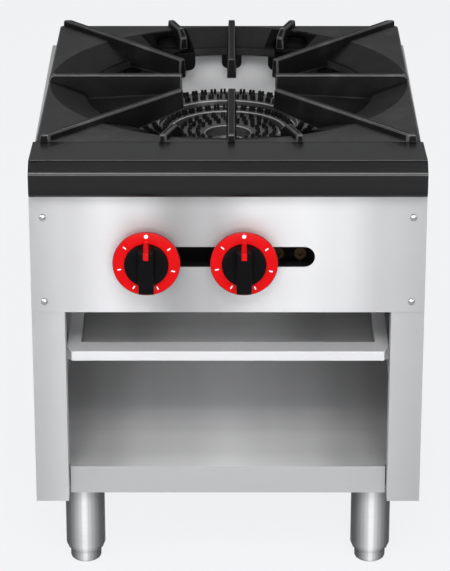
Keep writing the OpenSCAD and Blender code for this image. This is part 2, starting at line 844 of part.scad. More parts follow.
module port_ring_inner() {
    slope = core_rise / (core_out_r - core_in_r);
    burner_part() {
        port_ring(core_in_r, core_out_r, core_top, core_top + core_rise);
        for (row = [0 : 2]) {
            inward = core_row_in + row * core_row;
            ports(ports_core - row * 5, core_out_r - inward, core_top + core_rise - inward * slope,
                core_w - row * 0.3, core_len, row / 2);
        }
    }
}

module burner_bar(y) {
    block([-liner_x, y - bar_w / 2, ring_z - bar_h], [liner_x, y + bar_w / 2, ring_z]);
}

module burner_bar_front() {
    color("#6c6c6f") placed() burner_bar(burner_y - bar_off);
}

module burner_bar_rear() {
    color("#6c6c6f") placed() burner_bar(burner_y + bar_off);
}

// Mixer tubes run back from the shutters and turn up into the castings

mixer_set = 36;
mixer_y0 = manifold_y + mixer_set;
face_t = 4;
hood_d = 14;
hood_in = 2;
outer_riser_y = burner_y - riser_set;
inner_riser_y = burner_y - sqrt(pow((core_out_r + core_in_r) / 2, 2) - knob_right_x * knob_right_x);
window_r0 = hood_d / 2 + 3;
window_r1 = mixer_d / 2 - mixer_wall;

// Air windows of a shutter and of the mixer's face: three sectors between two radii
module windows(depth) {
    rotate([90, 0, 0]) linear_extrude(depth, center = true) difference() {
        for (turn = [0, 120, 240]) rotate(turn)
            polygon([[0, 0], for (a = [-20, 0, 20]) 2 * window_r1 * [cos(a), sin(a)]]);
        circle(r = window_r0);
        difference() {
            square(6 * window_r1, center = true);
            circle(r = window_r1);
        }
    }
}

// The run of a mixer tube: back along +Y, a quarter bend and a riser
module mixer_run(x, y0, riser_y, top_z, d) {
    rod_y(x, y0, riser_y - mixer_bend, slot_z, d);
    translate([x, riser_y - mixer_bend, slot_z + mixer_bend]) rotate([0, 90, 0])
        rotate_extrude(angle = 90) translate([mixer_bend, 0]) circle(d = d);
    rod_z(x, riser_y, slot_z + mixer_bend, top_z, d);
}

module mixer(x, riser_y, top_z) {
    bore_d = mixer_d - 2 * mixer_wall;
    difference() {
        union() {
            mixer_run(x, mixer_y0 + face_t, riser_y, top_z, mixer_d);
            rod_y(x, mixer_y0, mixer_y0 + face_t, slot_z, shutter_d);
        }
        mixer_run(x, mixer_y0 + face_t, riser_y, top_z + eps, bore_d);
        rod_y(x, mixer_y0 - eps, mixer_y0 + face_t + eps, slot_z, hood_d + 2 * seat_gap);
        translate([x, mixer_y0 + face_t / 2, slot_z]) windows(2 * face_t);
    }
}

module mixer_tube_outer() {
    color("#4a4a4c") placed() mixer(knob_left_x, outer_riser_y, ring_z);
}

module mixer_tube_inner() {
    color("#4a4a4c") placed() mixer(knob_right_x, inner_riser_y, core_z);
}

tab_w = 8;
tab_out = 5;
tab_rise = 3;
module shutter(x) {
    difference() {
        union() {
            rod_y(x, mixer_y0 - seat_gap - shutter_t, mixer_y0 - seat_gap, slot_z, shutter_d);
            translate([x, mixer_y0 - seat_gap - shutter_t, slot_z]) rotate([0, shutter_turn, 0])
                block([-tab_w / 2, -tab_out, shutter_d / 2 - tab_rise],
                    [tab_w / 2, shutter_t, shutter_d / 2 + 2]);
        }
        rod_y(x, mixer_y0 - 3 * shutter_t, mixer_y0 + eps, slot_z, hood_d + 2 * run_gap);
        translate([x, mixer_y0 - seat_gap - shutter_t / 2, slot_z]) windows(2 * shutter_t);
    }
}

module air_shutter_outer() {
    color("#b8b8ba") placed() shutter(knob_left_x);
}

module air_shutter_inner() {
    color("#b8b8ba") placed() shutter(knob_right_x);
}

// Valves stand on the manifold, with their stems through the panel's slot

valve_w = 26;
valve_h = 28;
valve_front = 17;
valve_rear = 15;
valve_y0 = manifold_y - valve_front;
valve_y1 = manifold_y + valve_rear;
neck_d = 18;
neck_out = 9;
pillar_d = 14;
spud_d = 16;
spud_len = 5;
thread_d = 8;
thread_len = 7;
saddle_in = 2;
saddle_z = manifold_z + pipe_d / 2 - saddle_in;
stem_in = 14;
stem_y0 = -dial_out + dial_t - 1;

module valve(x) {
    difference() {
        union() {
            block([x - valve_w / 2, valve_y0, slot_z - valve_h / 2],
                [x + valve_w / 2, valve_y1, slot_z + valve_h / 2]);
            rod_y(x, valve_y0 - neck_out, valve_y0 + 1, slot_z, neck_d);
            rod_z(x, manifold_y, saddle_z, slot_z, pillar_d);
            rod_y(x, valve_y1 - 1, valve_y1 + spud_len, slot_z, spud_d);
        }
        rod_y(x, valve_y0 - neck_out - eps, valve_y0 + stem_in, slot_z, stem_d + 2 * run_gap);
        rod_y(x, valve_y1 - thread_len - 1, valve_y1 + spud_len + eps, slot_z,
            thread_d + 2 * run_gap);
    }
}

module gas_valve_left() {
    color("#b08d4a") placed() valve(knob_left_x);
}

module gas_valve_right() {
    color("#b08d4a") placed() valve(knob_right_x);
}

module orifice_hoods() {
    color("#c19a4f") placed() for (x = [knob_left_x, knob_right_x]) {
        rod_y(x, valve_y1 - thread_len, valve_y1 + spud_len + eps, slot_z, thread_d);
        rod_y(x, valve_y1 + spud_len, mixer_y0 + face_t + hood_in, slot_z, hood_d);
    }
}

module stem(x) {
    rod_y(x, stem_y0, valve_y0 + stem_in - seat_gap, slot_z, stem_d);
}

module valve_stem_left() {
    color("#c9c9cb") placed() stem(knob_left_x);
}

module valve_stem_right() {
    color("#c9c9cb") placed() stem(knob_right_x);
}

// Knobs

hub_d = 30;
hub_back = 5;
dial_bevel = 1.5;
mark_count = 3;
mark_r = 31;
mark_len = 4.5;
mark_w = 1.6;
mark_depth = 0.4;
dot_d = 5.6;
dot_r = 33;

// Red skirt with a hub behind it, a dot above and marks to both sides
module dial(x) {
    back = dial_out - dial_t;
    edge = dial_d / 2;
    translate([x, 0, slot_z]) rotate([90, 0, 0]) difference() {
        union() {
            rotate_extrude($fn = 96) polygon([[0, back], [edge - dial_bevel, back],
                [edge, back + dial_bevel], [edge, dial_out - dial_bevel / 2],
                [edge - dial_bevel, dial_out], [0, dial_out]]);
            translate([0, 0, hub_back]) cylinder(d = hub_d, h = dial_out - hub_back - 1);
        }
        translate([0, 0, -eps]) cylinder(d = stem_d + 2 * run_gap, h = dial_out - 1 + eps);
        translate([0, dot_r, dial_out - mark_depth]) cylinder(d = dot_d, h = 2 * mark_depth, $fn = 32);
        for (side = [-1, 1]) for (i = [1 : mark_count]) rotate(side * i * mark_step)
            translate([-mark_w / 2, mark_r - mark_len / 2, dial_out - mark_depth])
                cube([mark_w, mark_len, 2 * mark_depth]);
    }
}

module knob_dial_left() {
    color("#e01414") placed() dial(knob_left_x);
}

module knob_dial_right() {
    color("#e01414") placed() dial(knob_right_x);
}

pointer_w = 6;
pointer_t = 1.4;
pointer_low = 13;
pointer_tip = 29;
grip_top = 22;
grip_low = 28;
grip_round = 3;
disc_bevel = 1.5;
disc_r = knob_d / 2;

// Side view of the grip bar: distance out from the dial against height
module grip_side() {
    tip = disc_r - disc_bevel / 2;
    polygon([[0, -grip_low + grip_round], [grip_h - grip_round, -grip_low],
        [grip_h, -grip_low + grip_round], [grip_h, grip_top], [knob_step, tip], [0, tip]]);
}

// Side view of the pointer: down the bar's front, over its bevel and onto the dial
module pointer_side() {
    rim = disc_r + run_gap;
    polygon([[grip_h, pointer_low], [grip_h, grip_top], [knob_step, rim + pointer_t],
        [pointer_t / 2, pointer_tip], [0, pointer_tip], [0, rim], [knob_step - pointer_t / 2, rim],
        [grip_h - pointer_t, grip_top - pointer_t], [grip_h - pointer_t, pointer_low]]);
}

// Side view of the groove that holds the pointer
module groove_side() {
    back = grip_h - pointer_t - run_gap;
    polygon([[grip_h + eps, pointer_low - run_gap], [back, pointer_low - run_gap],
        [back, grip_top - pointer_t - run_gap], [knob_step, disc_r - pointer_t / 4],
        [knob_step, knob_d], [grip_h + eps, knob_d]]);
}

// Extrudes a side view across the stove
module across(w) {
    rotate([0, 0, -90]) rotate([90, 0, 0]) linear_extrude(w, center = true) children();
}

module grip(x) {
    translate([x, -dial_out, slot_z]) difference() {
        union() {
            rotate([90, 0, 0]) rotate_extrude($fn = 96) polygon([[0, 0], [disc_r, 0],
                [disc_r, knob_step - disc_bevel], [disc_r - disc_bevel, knob_step], [0, knob_step - 1]]);
            across(grip_w) grip_side();
        }
        across(pointer_w + 2 * run_gap) groove_side();
    }
}

module knob_grip_left() {
    color("#141416") placed() grip(knob_left_x);
}

module knob_grip_right() {
    color("#141416") placed() grip(knob_right_x);
}

module pointer(x) {
    translate([x, -dial_out, slot_z]) across(pointer_w) pointer_side();
}

module knob_pointer_left() {
    color("#f02222") placed() pointer(knob_left_x);
}

module knob_pointer_right() {
    color("#f02222") placed() pointer(knob_right_x);
}

// Gas line

manifold_over = 45;
manifold_x0 = knob_left_x - manifold_over;
cap_len = 12;
port_d = 8;
elbow_wall = 4;
elbow_d = pipe_d + 2 * elbow_wall;
elbow_len = 24;
module manifold_pipe() {
    color("#3b3b3d") placed() difference() {
        union() {
            rod_x(manifold_x0, supply_x - elbow_d / 2, manifold_y, manifold_z, pipe_d);
            rod_x(manifold_x0 - cap_len, manifold_x0, manifold_y, manifold_z, elbow_d);
        }
        rod_x(manifold_x0, supply_x, manifold_y, manifold_z, pipe_d - 2 * pipe_wall);
        for (x = [knob_left_x, knob_right_x, pilot_x[0], pilot_x[1]])
            rod_z(x, manifold_y, manifold_z, manifold_z + pipe_d, port_d, 24);
        for (x = [knob_left_x, knob_right_x])
            rod_z(x, manifold_y, saddle_z - seat_gap, slot_z, pillar_d + 2 * seat_gap);
        for (x = pilot_x)
            rod_z(x, manifold_y, saddle_z - seat_gap, slot_z, pilot_stub_d + 2 * seat_gap);
    }
}

module gas_elbow() {
    color("#3b3b3d") placed() difference() {
        union() {
            rod_x(supply_x - elbow_d / 2, supply_x, manifold_y, manifold_z, elbow_d);
            translate([supply_x, manifold_y, manifold_z]) sphere(d = elbow_d);
            rod_y(supply_x, manifold_y, manifold_y + elbow_len, manifold_z, elbow_d);
        }
        rod_x(supply_x - elbow_len, supply_x, manifold_y, manifold_z, pipe_d - 2 * pipe_wall);
        rod_y(supply_x, manifold_y, manifold_y + elbow_len + eps, manifold_z, pipe_d - 2 * pipe_wall);
    }
}

module supply_pipe() {
    color("#3b3b3d") placed() difference() {
        union() {
            rod_y(supply_x, manifold_y + elbow_len, inlet_y - thread_h, manifold_z, pipe_d);
            rod_y(supply_x, inlet_y - thread_h - eps, inlet_y, manifold_z, pipe_d - thread_cut);
        }
        rod_y(supply_x, manifold_y + elbow_len - eps, inlet_y + eps, manifold_z,
            pipe_d - 2 * pipe_wall);
    }
}

bracket_left_in = 28;
bracket_right_in = 30;
bracket_x = [knob_left_x - bracket_left_in, supply_x - bracket_right_in];
bracket_w = 16;
bracket_t = 3;
bracket_rim = 4;
panel_foot_y = 3 * sheet_t;
module manifold_brackets() {
    low = panel_z + sheet_t;
    reach = pipe_d / 2 + bracket_rim;
    color("#8a8a8d") placed() for (x = bracket_x) difference() {
        union() {
            block([x - bracket_t / 2, manifold_y - reach, low],
                [x + bracket_t / 2, manifold_y + reach, manifold_z]);
            block([x - bracket_w / 2, panel_foot_y, low],
                [x + bracket_w / 2, manifold_y + reach, low + bracket_t]);
        }
        rod_x(x - bracket_w, x + bracket_w, manifold_y, manifold_z, pipe_d + 2 * seat_gap);
    }
}

// Pilots

pilot_from_knob = 39.5;
pilot_pitch = 26;
pilot_x = [knob_right_x + pilot_from_knob, knob_right_x + pilot_from_knob + pilot_pitch];
pilot_stub_d = 10;
pilot_body_d = 14;
pilot_socket = 4;
pilot_screw_d = 6;
pilot_z = manifold_z + pipe_d / 2 + pilot_body_d;
pilot_front = 16;
pilot_rear = 14;
pilot_y0 = manifold_y - pilot_front;
pilot_y1 = manifold_y + pilot_rear;
pilot_bend = 12;
pilot_head_d = 10;
pilot_head_h = 14;
pilot_gap = 3;
pilot_jet_d = 4;
pilot_jet_h = 5;
pilot_drop = 6;
pilot_top = tier_top - pilot_drop;
pilot_ring_r = tier_out_r + pilot_gap + pilot_head_d / 2;

// Depth at which a pilot at x stands beside the outer casting
function pilot_end(x) = burner_y - sqrt(pilot_ring_r * pilot_ring_r - x * x);

// The burner bars lie just inside the pilot tubes
bar_gap = 0.1;
bar_off = burner_y - max(pilot_end(pilot_x[0]), pilot_end(pilot_x[1])) - pilot_d / 2 - bar_gap
    - bar_w / 2;

module pilot_valves() {
    color("#b08d4a") placed() for (x = pilot_x) difference() {
        union() {
            rod_z(x, manifold_y, saddle_z, pilot_z, pilot_stub_d);
            rod_y(x, pilot_y0, pilot_y1, pilot_z, pilot_body_d);
        }
        rod_y(x, pilot_y1 - pilot_socket, pilot_y1 + eps, pilot_z, pilot_d + 2 * run_gap, 32);
        rod_y(x, pilot_y0 - eps, pilot_y0 + pilot_gap, pilot_z, pilot_screw_d, 24);
    }
}

// A pilot tube: back from its valve, a bend, and up to its head
module pilot_tube(x) {
    y = pilot_end(x);
    rod_y(x, pilot_y1 - pilot_socket + seat_gap, y - pilot_bend, pilot_z, pilot_d, 32);
    translate([x, y - pilot_bend, pilot_z + pilot_bend]) rotate([0, 90, 0])
        rotate_extrude(angle = 90, $fn = 48) translate([pilot_bend, 0])
            circle(d = pilot_d, $fn = 32);
    rod_z(x, y, pilot_z + pilot_bend, pilot_top - pilot_head_h, pilot_d, 32);
}

module pilot_tube_left() {
    color("#b9b9bb") placed() pilot_tube(pilot_x[0]);
}

module pilot_tube_right() {
    color("#b9b9bb") placed() pilot_tube(pilot_x[1]);
}

module pilot_heads() {
    color("#8d8d90") placed() for (x = pilot_x) difference() {
        rod_z(x, pilot_end(x), pilot_top - pilot_head_h, pilot_top, pilot_head_d);
        rod_z(x, pilot_end(x), pilot_top - pilot_jet_h, pilot_top + eps, pilot_jet_d, 24);
    }
}

// Legs and feet

leg_in_r = leg_d / 2 - leg_wall;
mouth_r = foot_d / 2 + seat_gap;
foot_hold = 5;
foot_top = leg_mouth_z + foot_travel + foot_hold;
foot_stem_d = 12.7;
nut_h = 14;
nut_z = foot_top + 4;
foot_stem_top = nut_z + nut_h + foot_travel;

module leg(x, y) {
    shoulder_z = leg_mouth_z + shoulder_h;
    mouth_out = mouth_r + leg_wall;
    turn_in = 0.8;
    translate([x, y, 0]) rotate_extrude() polygon([[mouth_r, leg_mouth_z],
        [mouth_out - turn_in, leg_mouth_z], [mouth_out + turn_in, leg_mouth_z + 1],
        [leg_d / 2 - turn_in, shoulder_z - 2], [leg_d / 2, shoulder_z], [leg_d / 2, plate_z],
        [leg_in_r, plate_z], [leg_in_r, shoulder_z], [mouth_r, leg_mouth_z + 2]]);
}

module leg_front_left() {
    color("#b3b3b6") placed() leg(-leg_x, leg_ys[0]);
}

module leg_front_right() {
    color("#b3b3b6") placed() leg(leg_x, leg_ys[0]);
}

module leg_rear_left() {
    color("#b3b3b6") placed() leg(-leg_x, leg_ys[1]);
}

module leg_rear_right() {
    color("#b3b3b6") placed() leg(leg_x, leg_ys[1]);
}

// Repeats what follows at the four legs
module each_leg() {
    for (sx = [-1, 1]) for (y = leg_ys) translate([sx * leg_x, y, 0]) children();
}

module leg_plates() {
    color("#8a8a8d") placed() each_leg() difference() {
        block([-plate_w / 2, -plate_w / 2, plate_z], [plate_w / 2, plate_w / 2, plate_z + plate_t]);
        for (sx = [-1, 1]) for (sy = [-1, 1])
            rod_z(sx * leg_bolt, sy * leg_bolt, plate_z - eps, plate_z + plate_t + eps,
                leg_hole_d, 24);
    }
}

module leg_nuts() {
    color("#8a8a8d") placed() each_leg() difference() {
        rod_z(0, 0, nut_z, nut_z + nut_h, 2 * (leg_in_r - run_gap));
        rod_z(0, 0, nut_z - eps, nut_z + nut_h + eps, foot_stem_d + 2 * run_gap);
    }
}

module foot(x, y) {
    bevel = 4;
    translate([x, y, 0]) {
        rotate_extrude() polygon([[0, 0], [foot_d / 2 - bevel, 0], [foot_d / 2 - 1.2, 1.6],
            [foot_d / 2, bevel], [foot_d / 2, foot_top], [0, foot_top]]);
        rod_z(0, 0, foot_top - 1, foot_stem_top, foot_stem_d);
    }
}

module foot_front_left() {
    color("#a9a9ac") placed() foot(-leg_x, leg_ys[0]);
}

module foot_front_right() {
    color("#a9a9ac") placed() foot(leg_x, leg_ys[0]);
}

module foot_rear_left() {
    color("#a9a9ac") placed() foot(-leg_x, leg_ys[1]);
}

module foot_rear_right() {
    color("#a9a9ac") placed() foot(leg_x, leg_ys[1]);
}

// Fasteners

module panel_screws() {
    color("#d4d4d6") placed() for (side = [-1, 1]) for (up = [0, 1])
        translate([side * screw_x, 0, panel_z + screw_low + up * screw_pitch]) screw_y(screw_head_d);
}

module back_screws() {
    color("#c4c4c6") placed() for (side = [-1, 1]) for (z = back_screw_z)
        translate([side * back_screw_x, back_y + sheet_t, z]) rotate([0, 0, 180])
            screw_y(small_head_d);
}

// Bolts through the leg plates and the channels, with flat heads below and hexagon nuts above
module leg_screws() {
    nut_bottom = web_z + sheet_t;
    bolt_nut_d = 8.5;
    bolt_nut_h = 4;
    color("#c4c4c6") placed() each_leg() for (sx = [-1, 1]) for (sy = [-1, 1])
        translate([sx * leg_bolt, sy * leg_bolt, 0]) {
            rod_z(0, 0, plate_z - screw_head_t, plate_z, bolt_nut_d, 24);
            rod_z(0, 0, plate_z - eps, nut_bottom + bolt_nut_h + eps, leg_bolt_d, 24);
            rod_z(0, 0, nut_bottom, nut_bottom + bolt_nut_h, bolt_nut_d, 6);
        }
}

rail_screw_len = 7;
module rail_screws() {
    color("#c4c4c6") placed() for (side = [0, 1]) mirror([side, 0, 0]) for (y = rail_screw_y)
        translate([liner_x - sheet_t, y, rail_screw_z]) rotate([0, 0, -90])
            screw_y(small_head_d, rail_screw_len);
}

top_grate();
grate_skirt();
grate_ribs();
grate_lugs();
front_ledge();
control_panel();
side_panel_left();
side_panel_right();
side_liner_left();
side_liner_right();
back_panel();
rear_liner();
front_heat_shield();
grate_rest_rail();
bottom_shelf();
base_channel_left();
base_channel_right();
tray_rail_left();
tray_rail_right();
drip_tray();
tray_rim();
burner_outer();
burner_inner();
port_ring_upper();
port_ring_lower();
port_ring_inner();
burner_bar_front();
burner_bar_rear();
mixer_tube_outer();
mixer_tube_inner();
air_shutter_outer();
air_shutter_inner();
orifice_hoods();
gas_valve_left();
gas_valve_right();
valve_stem_left();
valve_stem_right();
knob_dial_left();
knob_dial_right();
knob_grip_left();
knob_grip_right();
knob_pointer_left();
knob_pointer_right();
manifold_pipe();
manifold_brackets();
supply_pipe();
gas_elbow();
pilot_valves();
pilot_tube_left();
pilot_tube_right();
pilot_heads();
leg_front_left();
leg_front_right();
leg_rear_left();
leg_rear_right();
leg_plates();
leg_nuts();
foot_front_left();
foot_front_right();
foot_rear_left();
foot_rear_right();
panel_screws();
back_screws();
leg_screws();
rail_screws();
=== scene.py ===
"""Looks of a single burner gas stove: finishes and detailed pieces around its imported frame.

Lengths are metres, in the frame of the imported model: +X is to the right seen from the front, +Y
runs from the knobs to the back and +Z is up. Every piece rides on the body of the node that it
stands for, and takes its place from that node's box.
"""

import json
import logging
import math
from dataclasses import dataclass, field
from enum import Enum
from typing import Optional, Sequence, Union

import bmesh
import bpy
from mathutils import Matrix, Vector


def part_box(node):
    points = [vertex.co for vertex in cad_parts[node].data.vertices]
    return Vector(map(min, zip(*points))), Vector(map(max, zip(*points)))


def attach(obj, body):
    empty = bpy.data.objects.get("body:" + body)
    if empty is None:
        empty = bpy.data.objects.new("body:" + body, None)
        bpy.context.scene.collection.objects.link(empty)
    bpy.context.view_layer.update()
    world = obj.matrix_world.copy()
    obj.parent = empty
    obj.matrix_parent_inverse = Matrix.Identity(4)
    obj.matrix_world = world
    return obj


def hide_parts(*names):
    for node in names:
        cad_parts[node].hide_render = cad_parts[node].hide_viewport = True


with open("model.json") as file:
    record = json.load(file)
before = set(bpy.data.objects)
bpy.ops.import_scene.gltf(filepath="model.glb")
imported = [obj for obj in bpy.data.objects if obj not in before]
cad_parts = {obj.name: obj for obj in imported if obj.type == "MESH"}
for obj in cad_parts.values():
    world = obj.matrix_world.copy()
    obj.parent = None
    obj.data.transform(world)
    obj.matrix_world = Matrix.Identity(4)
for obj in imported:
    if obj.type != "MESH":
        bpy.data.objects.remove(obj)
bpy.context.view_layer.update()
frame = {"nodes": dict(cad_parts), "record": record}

LOG = logging.getLogger("stove")
MM = 0.001
WELD = 1e-6
BEHAVIOUR = frame["record"]["behaviour"]
BODY_OF = {node: body for body, nodes in BEHAVIOUR["bodies"].items() for node in nodes}
SLOT_OF = {row["node"]: row["material_slot"] for row in frame["record"]["subparts"]}

Point = tuple[float, float]
Colour = tuple[float, float, float]
Number = Union[int, float]


class Side(Enum):
    """The two sides of the stove, seen from the front."""

    LEFT = "left"
    RIGHT = "right"


class End(Enum):
    """The two ends of the stove."""

    FRONT = "front"
    REAR = "rear"


class Grain(Enum):
    """Direction in which a sheet was brushed or rolled, as stretches of the pattern."""

    ACROSS = (6.0, 900.0, 900.0)
    UPRIGHT = (900.0, 900.0, 6.0)


class PlateFace(Enum):
    """The finishes of the grate's plate, as its material slots."""

    DISH = 0
    TOP = 1
    # Painted highlight on rounded edges.
    WORN = 2
    # Painted shade round the notches.
    BURNT = 3


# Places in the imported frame


def corners(node: str) -> tuple[Vector, Vector]:
    """Lowest and highest corner of a node."""
    low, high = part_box(node)
    return Vector(low), Vector(high)


def middle(node: str) -> Vector:
    """Centre of a node's box."""
    low, high = corners(node)
    return (low + high) / 2


# Shader maths


class Wire:
    """One output socket of a material, usable in Python sums."""

    def __init__(self, graph: "Graph", socket: bpy.types.NodeSocket) -> None:
        """Keeps the socket and the graph that it belongs to."""
        self.graph = graph
        self.socket = socket

    def _maths(self, operation: str, first: "Feed", second: "Feed") -> "Wire":
        """Adds a Math node."""
        return self.graph.node("ShaderNodeMath", {"operation": operation}, {0: first, 1: second})

    def __add__(self, other: "Feed") -> "Wire":
        """Sum of the two."""
        return self._maths("ADD", self, other)

    def __radd__(self, other: Number) -> "Wire":
        """Sum of the two."""
        return self._maths("ADD", other, self)

    def __sub__(self, other: "Feed") -> "Wire":
        """Difference of the two."""
        return self._maths("SUBTRACT", self, other)

    def __rsub__(self, other: Number) -> "Wire":
        """Difference of the two."""
        return self._maths("SUBTRACT", other, self)

    def __mul__(self, other: "Feed") -> "Wire":
        """Product of the two."""
        return self._maths("MULTIPLY", self, other)

    def __rmul__(self, other: Number) -> "Wire":
        """Product of the two."""
        return self._maths("MULTIPLY", other, self)

    def __truediv__(self, other: "Feed") -> "Wire":
        """The first divided by the second."""
        return self._maths("DIVIDE", self, other)

    def __abs__(self) -> "Wire":
        """The value without its sign."""
        return self._maths("ABSOLUTE", self, 0.0)

    def or_more(self, other: "Feed") -> "Wire":
        """The greater of the two."""
        return self._maths("MAXIMUM", self, other)

    def swing(self, reach: float) -> "Wire":
        """A noise about its middle, as a change from -reach / 2 to reach / 2."""
        return (self - 0.5) * reach

    def ramped(self, low: float, high: float) -> "Wire":
        """Zero at low and one at high, with a smooth run between them."""
        return self.graph.node(
            "ShaderNodeMapRange",
            {"interpolation_type": "SMOOTHSTEP"},
            {"Value": self, "From Min": low, "From Max": high},
        )


Feed = Union[Wire, int, float]


class Graph:
    """The node tree of one material around its Principled shader."""

    def __init__(self, name: str) -> None:
        """Makes the material.

        Args:
            name: Name of the material.
        """
        self.material = bpy.data.materials.new(name)
        self.material.use_nodes = True
        self.tree = self.material.node_tree
        self.shader = self.tree.nodes["Principled BSDF"]

    def node(
        self,
        kind: str,
        settings: Optional[dict] = None,
        sockets: Optional[dict] = None,
        output: Union[int, str] = 0,
    ) -> Wire:
        """Adds a node.

        Args:
            kind: The node's type.
            settings: Its properties; "stops" are the positions and tones of a ramp.
            sockets: Values or wires of its inputs, by name or place.
            output: The output that is returned.

        Returns:
            The chosen output.
        """
        made = self.tree.nodes.new(kind)
        for name, value in (settings or {}).items():
            if name == "stops":
                self._set_stops(made.color_ramp, value)
            else:
                setattr(made, name, value)
        for name, value in (sockets or {}).items():
            self.feed(made.inputs[name], value)
        return Wire(self, made.outputs[output])

    def _set_stops(self, ramp: bpy.types.ColorRamp, stops: Sequence[Point]) -> None:
        """Sets a ramp's grey stops, given as position and tone."""
        ramp.interpolation = "EASE"
        while len(ramp.elements) < len(stops):
            ramp.elements.new(0.5)
        for element, (position, tone) in zip(ramp.elements, stops):
            element.position = position
            element.color = (tone, tone, tone, 1.0)

    def feed(self, socket: bpy.types.NodeSocket, value: object) -> None:
        """Links a wire to a socket, or sets the socket's own value."""
        if isinstance(value, Wire):
            self.tree.links.new(value.socket, socket)
        else:
            socket.default_value = value

    def shade(self, **inputs: object) -> None:
        """Feeds the Principled shader's sockets, named with underscores for spaces."""
        for name, value in inputs.items():
            socket = name.replace("_", " ").title().replace("Ior", "IOR")
            self.feed(self.shader.inputs[socket], value)

    def place(self, stretch: Sequence[float] = (1.0, 1.0, 1.0)) -> Wire:
        """Object coordinates, stretched."""
        at = self.node("ShaderNodeTexCoord", output="Object")
        return self.node("ShaderNodeMapping", {}, {"Vector": at, "Scale": tuple(stretch)})

    def axis(self, letter: str) -> Wire:
        """One of the object coordinates, in metres."""
        at = self.node("ShaderNodeTexCoord", output="Object")
        return self.node("ShaderNodeSeparateXYZ", {}, {"Vector": at}, letter)

    def noise(self, at: Wire, scale: float, detail: float = 2.0, rough: float = 0.5) -> Wire:
        """Fractal noise from 0 to 1."""
        return self.node(
            "ShaderNodeTexNoise",
            {},
            {"Vector": at, "Scale": scale, "Detail": detail, "Roughness": rough},
        )

    def tinted(self, colour: Colour, tone: Wire) -> Wire:
        """A colour times a tone."""
        return self.node(
            "ShaderNodeVectorMath", {"operation": "SCALE"}, {0: colour, "Scale": tone}
        )

    def mixed(self, share: Wire, first: Colour, second: Colour) -> Wire:
        """A blend of two colours."""
        return self.node(
            "ShaderNodeMix",
            {"data_type": "RGBA"},
            {0: share, 6: (*first, 1.0), 7: (*second, 1.0)},
            2,
        )

    def bumped(self, height: Wire, distance: float, strength: float = 1.0) -> Wire:
        """A normal from a height."""
        return self.node(
            "ShaderNodeBump",
            {},
            {"Height": height, "Distance": distance, "Strength": strength},
        )


# Finishes


@dataclass(frozen=True)
class Finish:
    """What a surface is made of. Each kind draws its own material.

    Attributes:
        name: Name of the material.
        colour: Base colour, linear.
        rough: Roughness in the middle of its range.
    """

    name: str
    colour: Colour
    rough: float

    def draw(self, graph: Graph) -> None:
        """Feeds the shader."""
        raise NotImplementedError

    def material(self) -> bpy.types.Material:
        """Returns the finish's material, made once."""
        known = bpy.data.materials.get(self.name)
        if known is not None:
            return known
        graph = Graph(self.name)
        self.draw(graph)
        return graph.material


@dataclass(frozen=True)
class Band:
    """Soft light and dark bands painted into a sheet's colour along one axis, mostly painted light
    and shade.

    Attributes:
        letter: The axis.
        low: Where the first stop lies.
        high: Where the last stop lies.
        stops: Position from 0 to 1 and tone of each stop.
    """

    letter: str
    low: float
    high: float
    stops: tuple[Point, ...]


@dataclass(frozen=True)
class SheetSteel(Finish):
    """Stainless or galvanised sheet with a brushed or rolled grain.

    Attributes:
        grain: Direction of the grain.
        bands: Broad bands in the colour, mostly painted light and shade.
        streak: How far the grain changes the tone.
        cloud: How far slow stains change the tone.
        metal: How metallic the surface is.
    """

    grain: Grain = Grain.ACROSS
    bands: tuple[Band, ...] = ()
    streak: float = 0.05
    cloud: float = 0.05
    metal: float = 1.0

    def draw(self, graph: Graph) -> None:
        """Grain, slow clouds and bands scale one colour."""
        fine = graph.noise(graph.place(self.grain.value), 1.0, 3.0, 0.6)
        slow = graph.noise(graph.place(), 7.0, 3.0)
        tone = fine.swing(2 * self.streak) + slow.swing(2 * self.cloud) + 1.0
        # The bands paint light and shade into the colour.
        for band in self.bands:
            along = (graph.axis(band.letter) - band.low) * (1.0 / (band.high - band.low))
            ramp = graph.node("ShaderNodeValToRGB", {"stops": band.stops}, {0: along})
            tone = tone * ramp
        graph.shade(
            base_color=graph.tinted(self.colour, tone),
            metallic=self.metal,
            roughness=fine.swing(0.16) + slow.swing(0.1) + self.rough,
            anisotropic=0.5,
            normal=graph.bumped(fine, 0.00004, 0.5),
        )


@dataclass(frozen=True)
class CastIron(Finish):
    """Sand-cast iron, with grain, pits and paler worn patches.

    Attributes:
        pale: Colour of the worn patches.
        grain: Bumps per metre of the sand grain.
        depth: Height of the grain.
        shine: Specular level.
    """

    pale: Colour = (0.09, 0.09, 0.092)
    grain: float = 900.0
    depth: float = 0.00025
    shine: float = 0.5

    def draw(self, graph: Graph) -> None:
        """A grain in the normal, with slow patches in colour and roughness."""
        at = graph.place()
        sand = graph.noise(at, self.grain, 3.0, 0.65)
        lumps = graph.noise(at, self.grain / 7.0, 2.0)
        patch = graph.noise(at, 22.0, 4.0, 0.6)
        wear = patch.ramped(0.45, 0.75)
        graph.shade(
            base_color=graph.mixed(wear, self.colour, self.pale),
            metallic=0.0,
            roughness=patch.swing(0.25) + sand.swing(0.15) + self.rough,
            specular_ior_level=self.shine,
            normal=graph.bumped(sand + lumps * 1.5, self.depth, 0.55),
        )


@dataclass(frozen=True)
class Enamel(Finish):
    """Satin enamel or paint on metal, with a faint orange peel.

    Attributes:
        peel: Bumps per metre of the peel.
        shine: Specular level.
    """

    peel: float = 260.0
    shine: float = 0.5

    def draw(self, graph: Graph) -> None:
        """Peel in the normal and slow changes in roughness."""
        at = graph.place()
        skin = graph.noise(at, self.peel, 2.0)
        slow = graph.noise(at, 9.0, 3.0)
        graph.shade(
            base_color=graph.tinted(self.colour, slow.swing(0.3) + 1.0),
            roughness=slow.swing(0.08) + skin.swing(0.05) + self.rough,
            specular_ior_level=self.shine,
            normal=graph.bumped(skin, 0.00006, 0.4),
        )


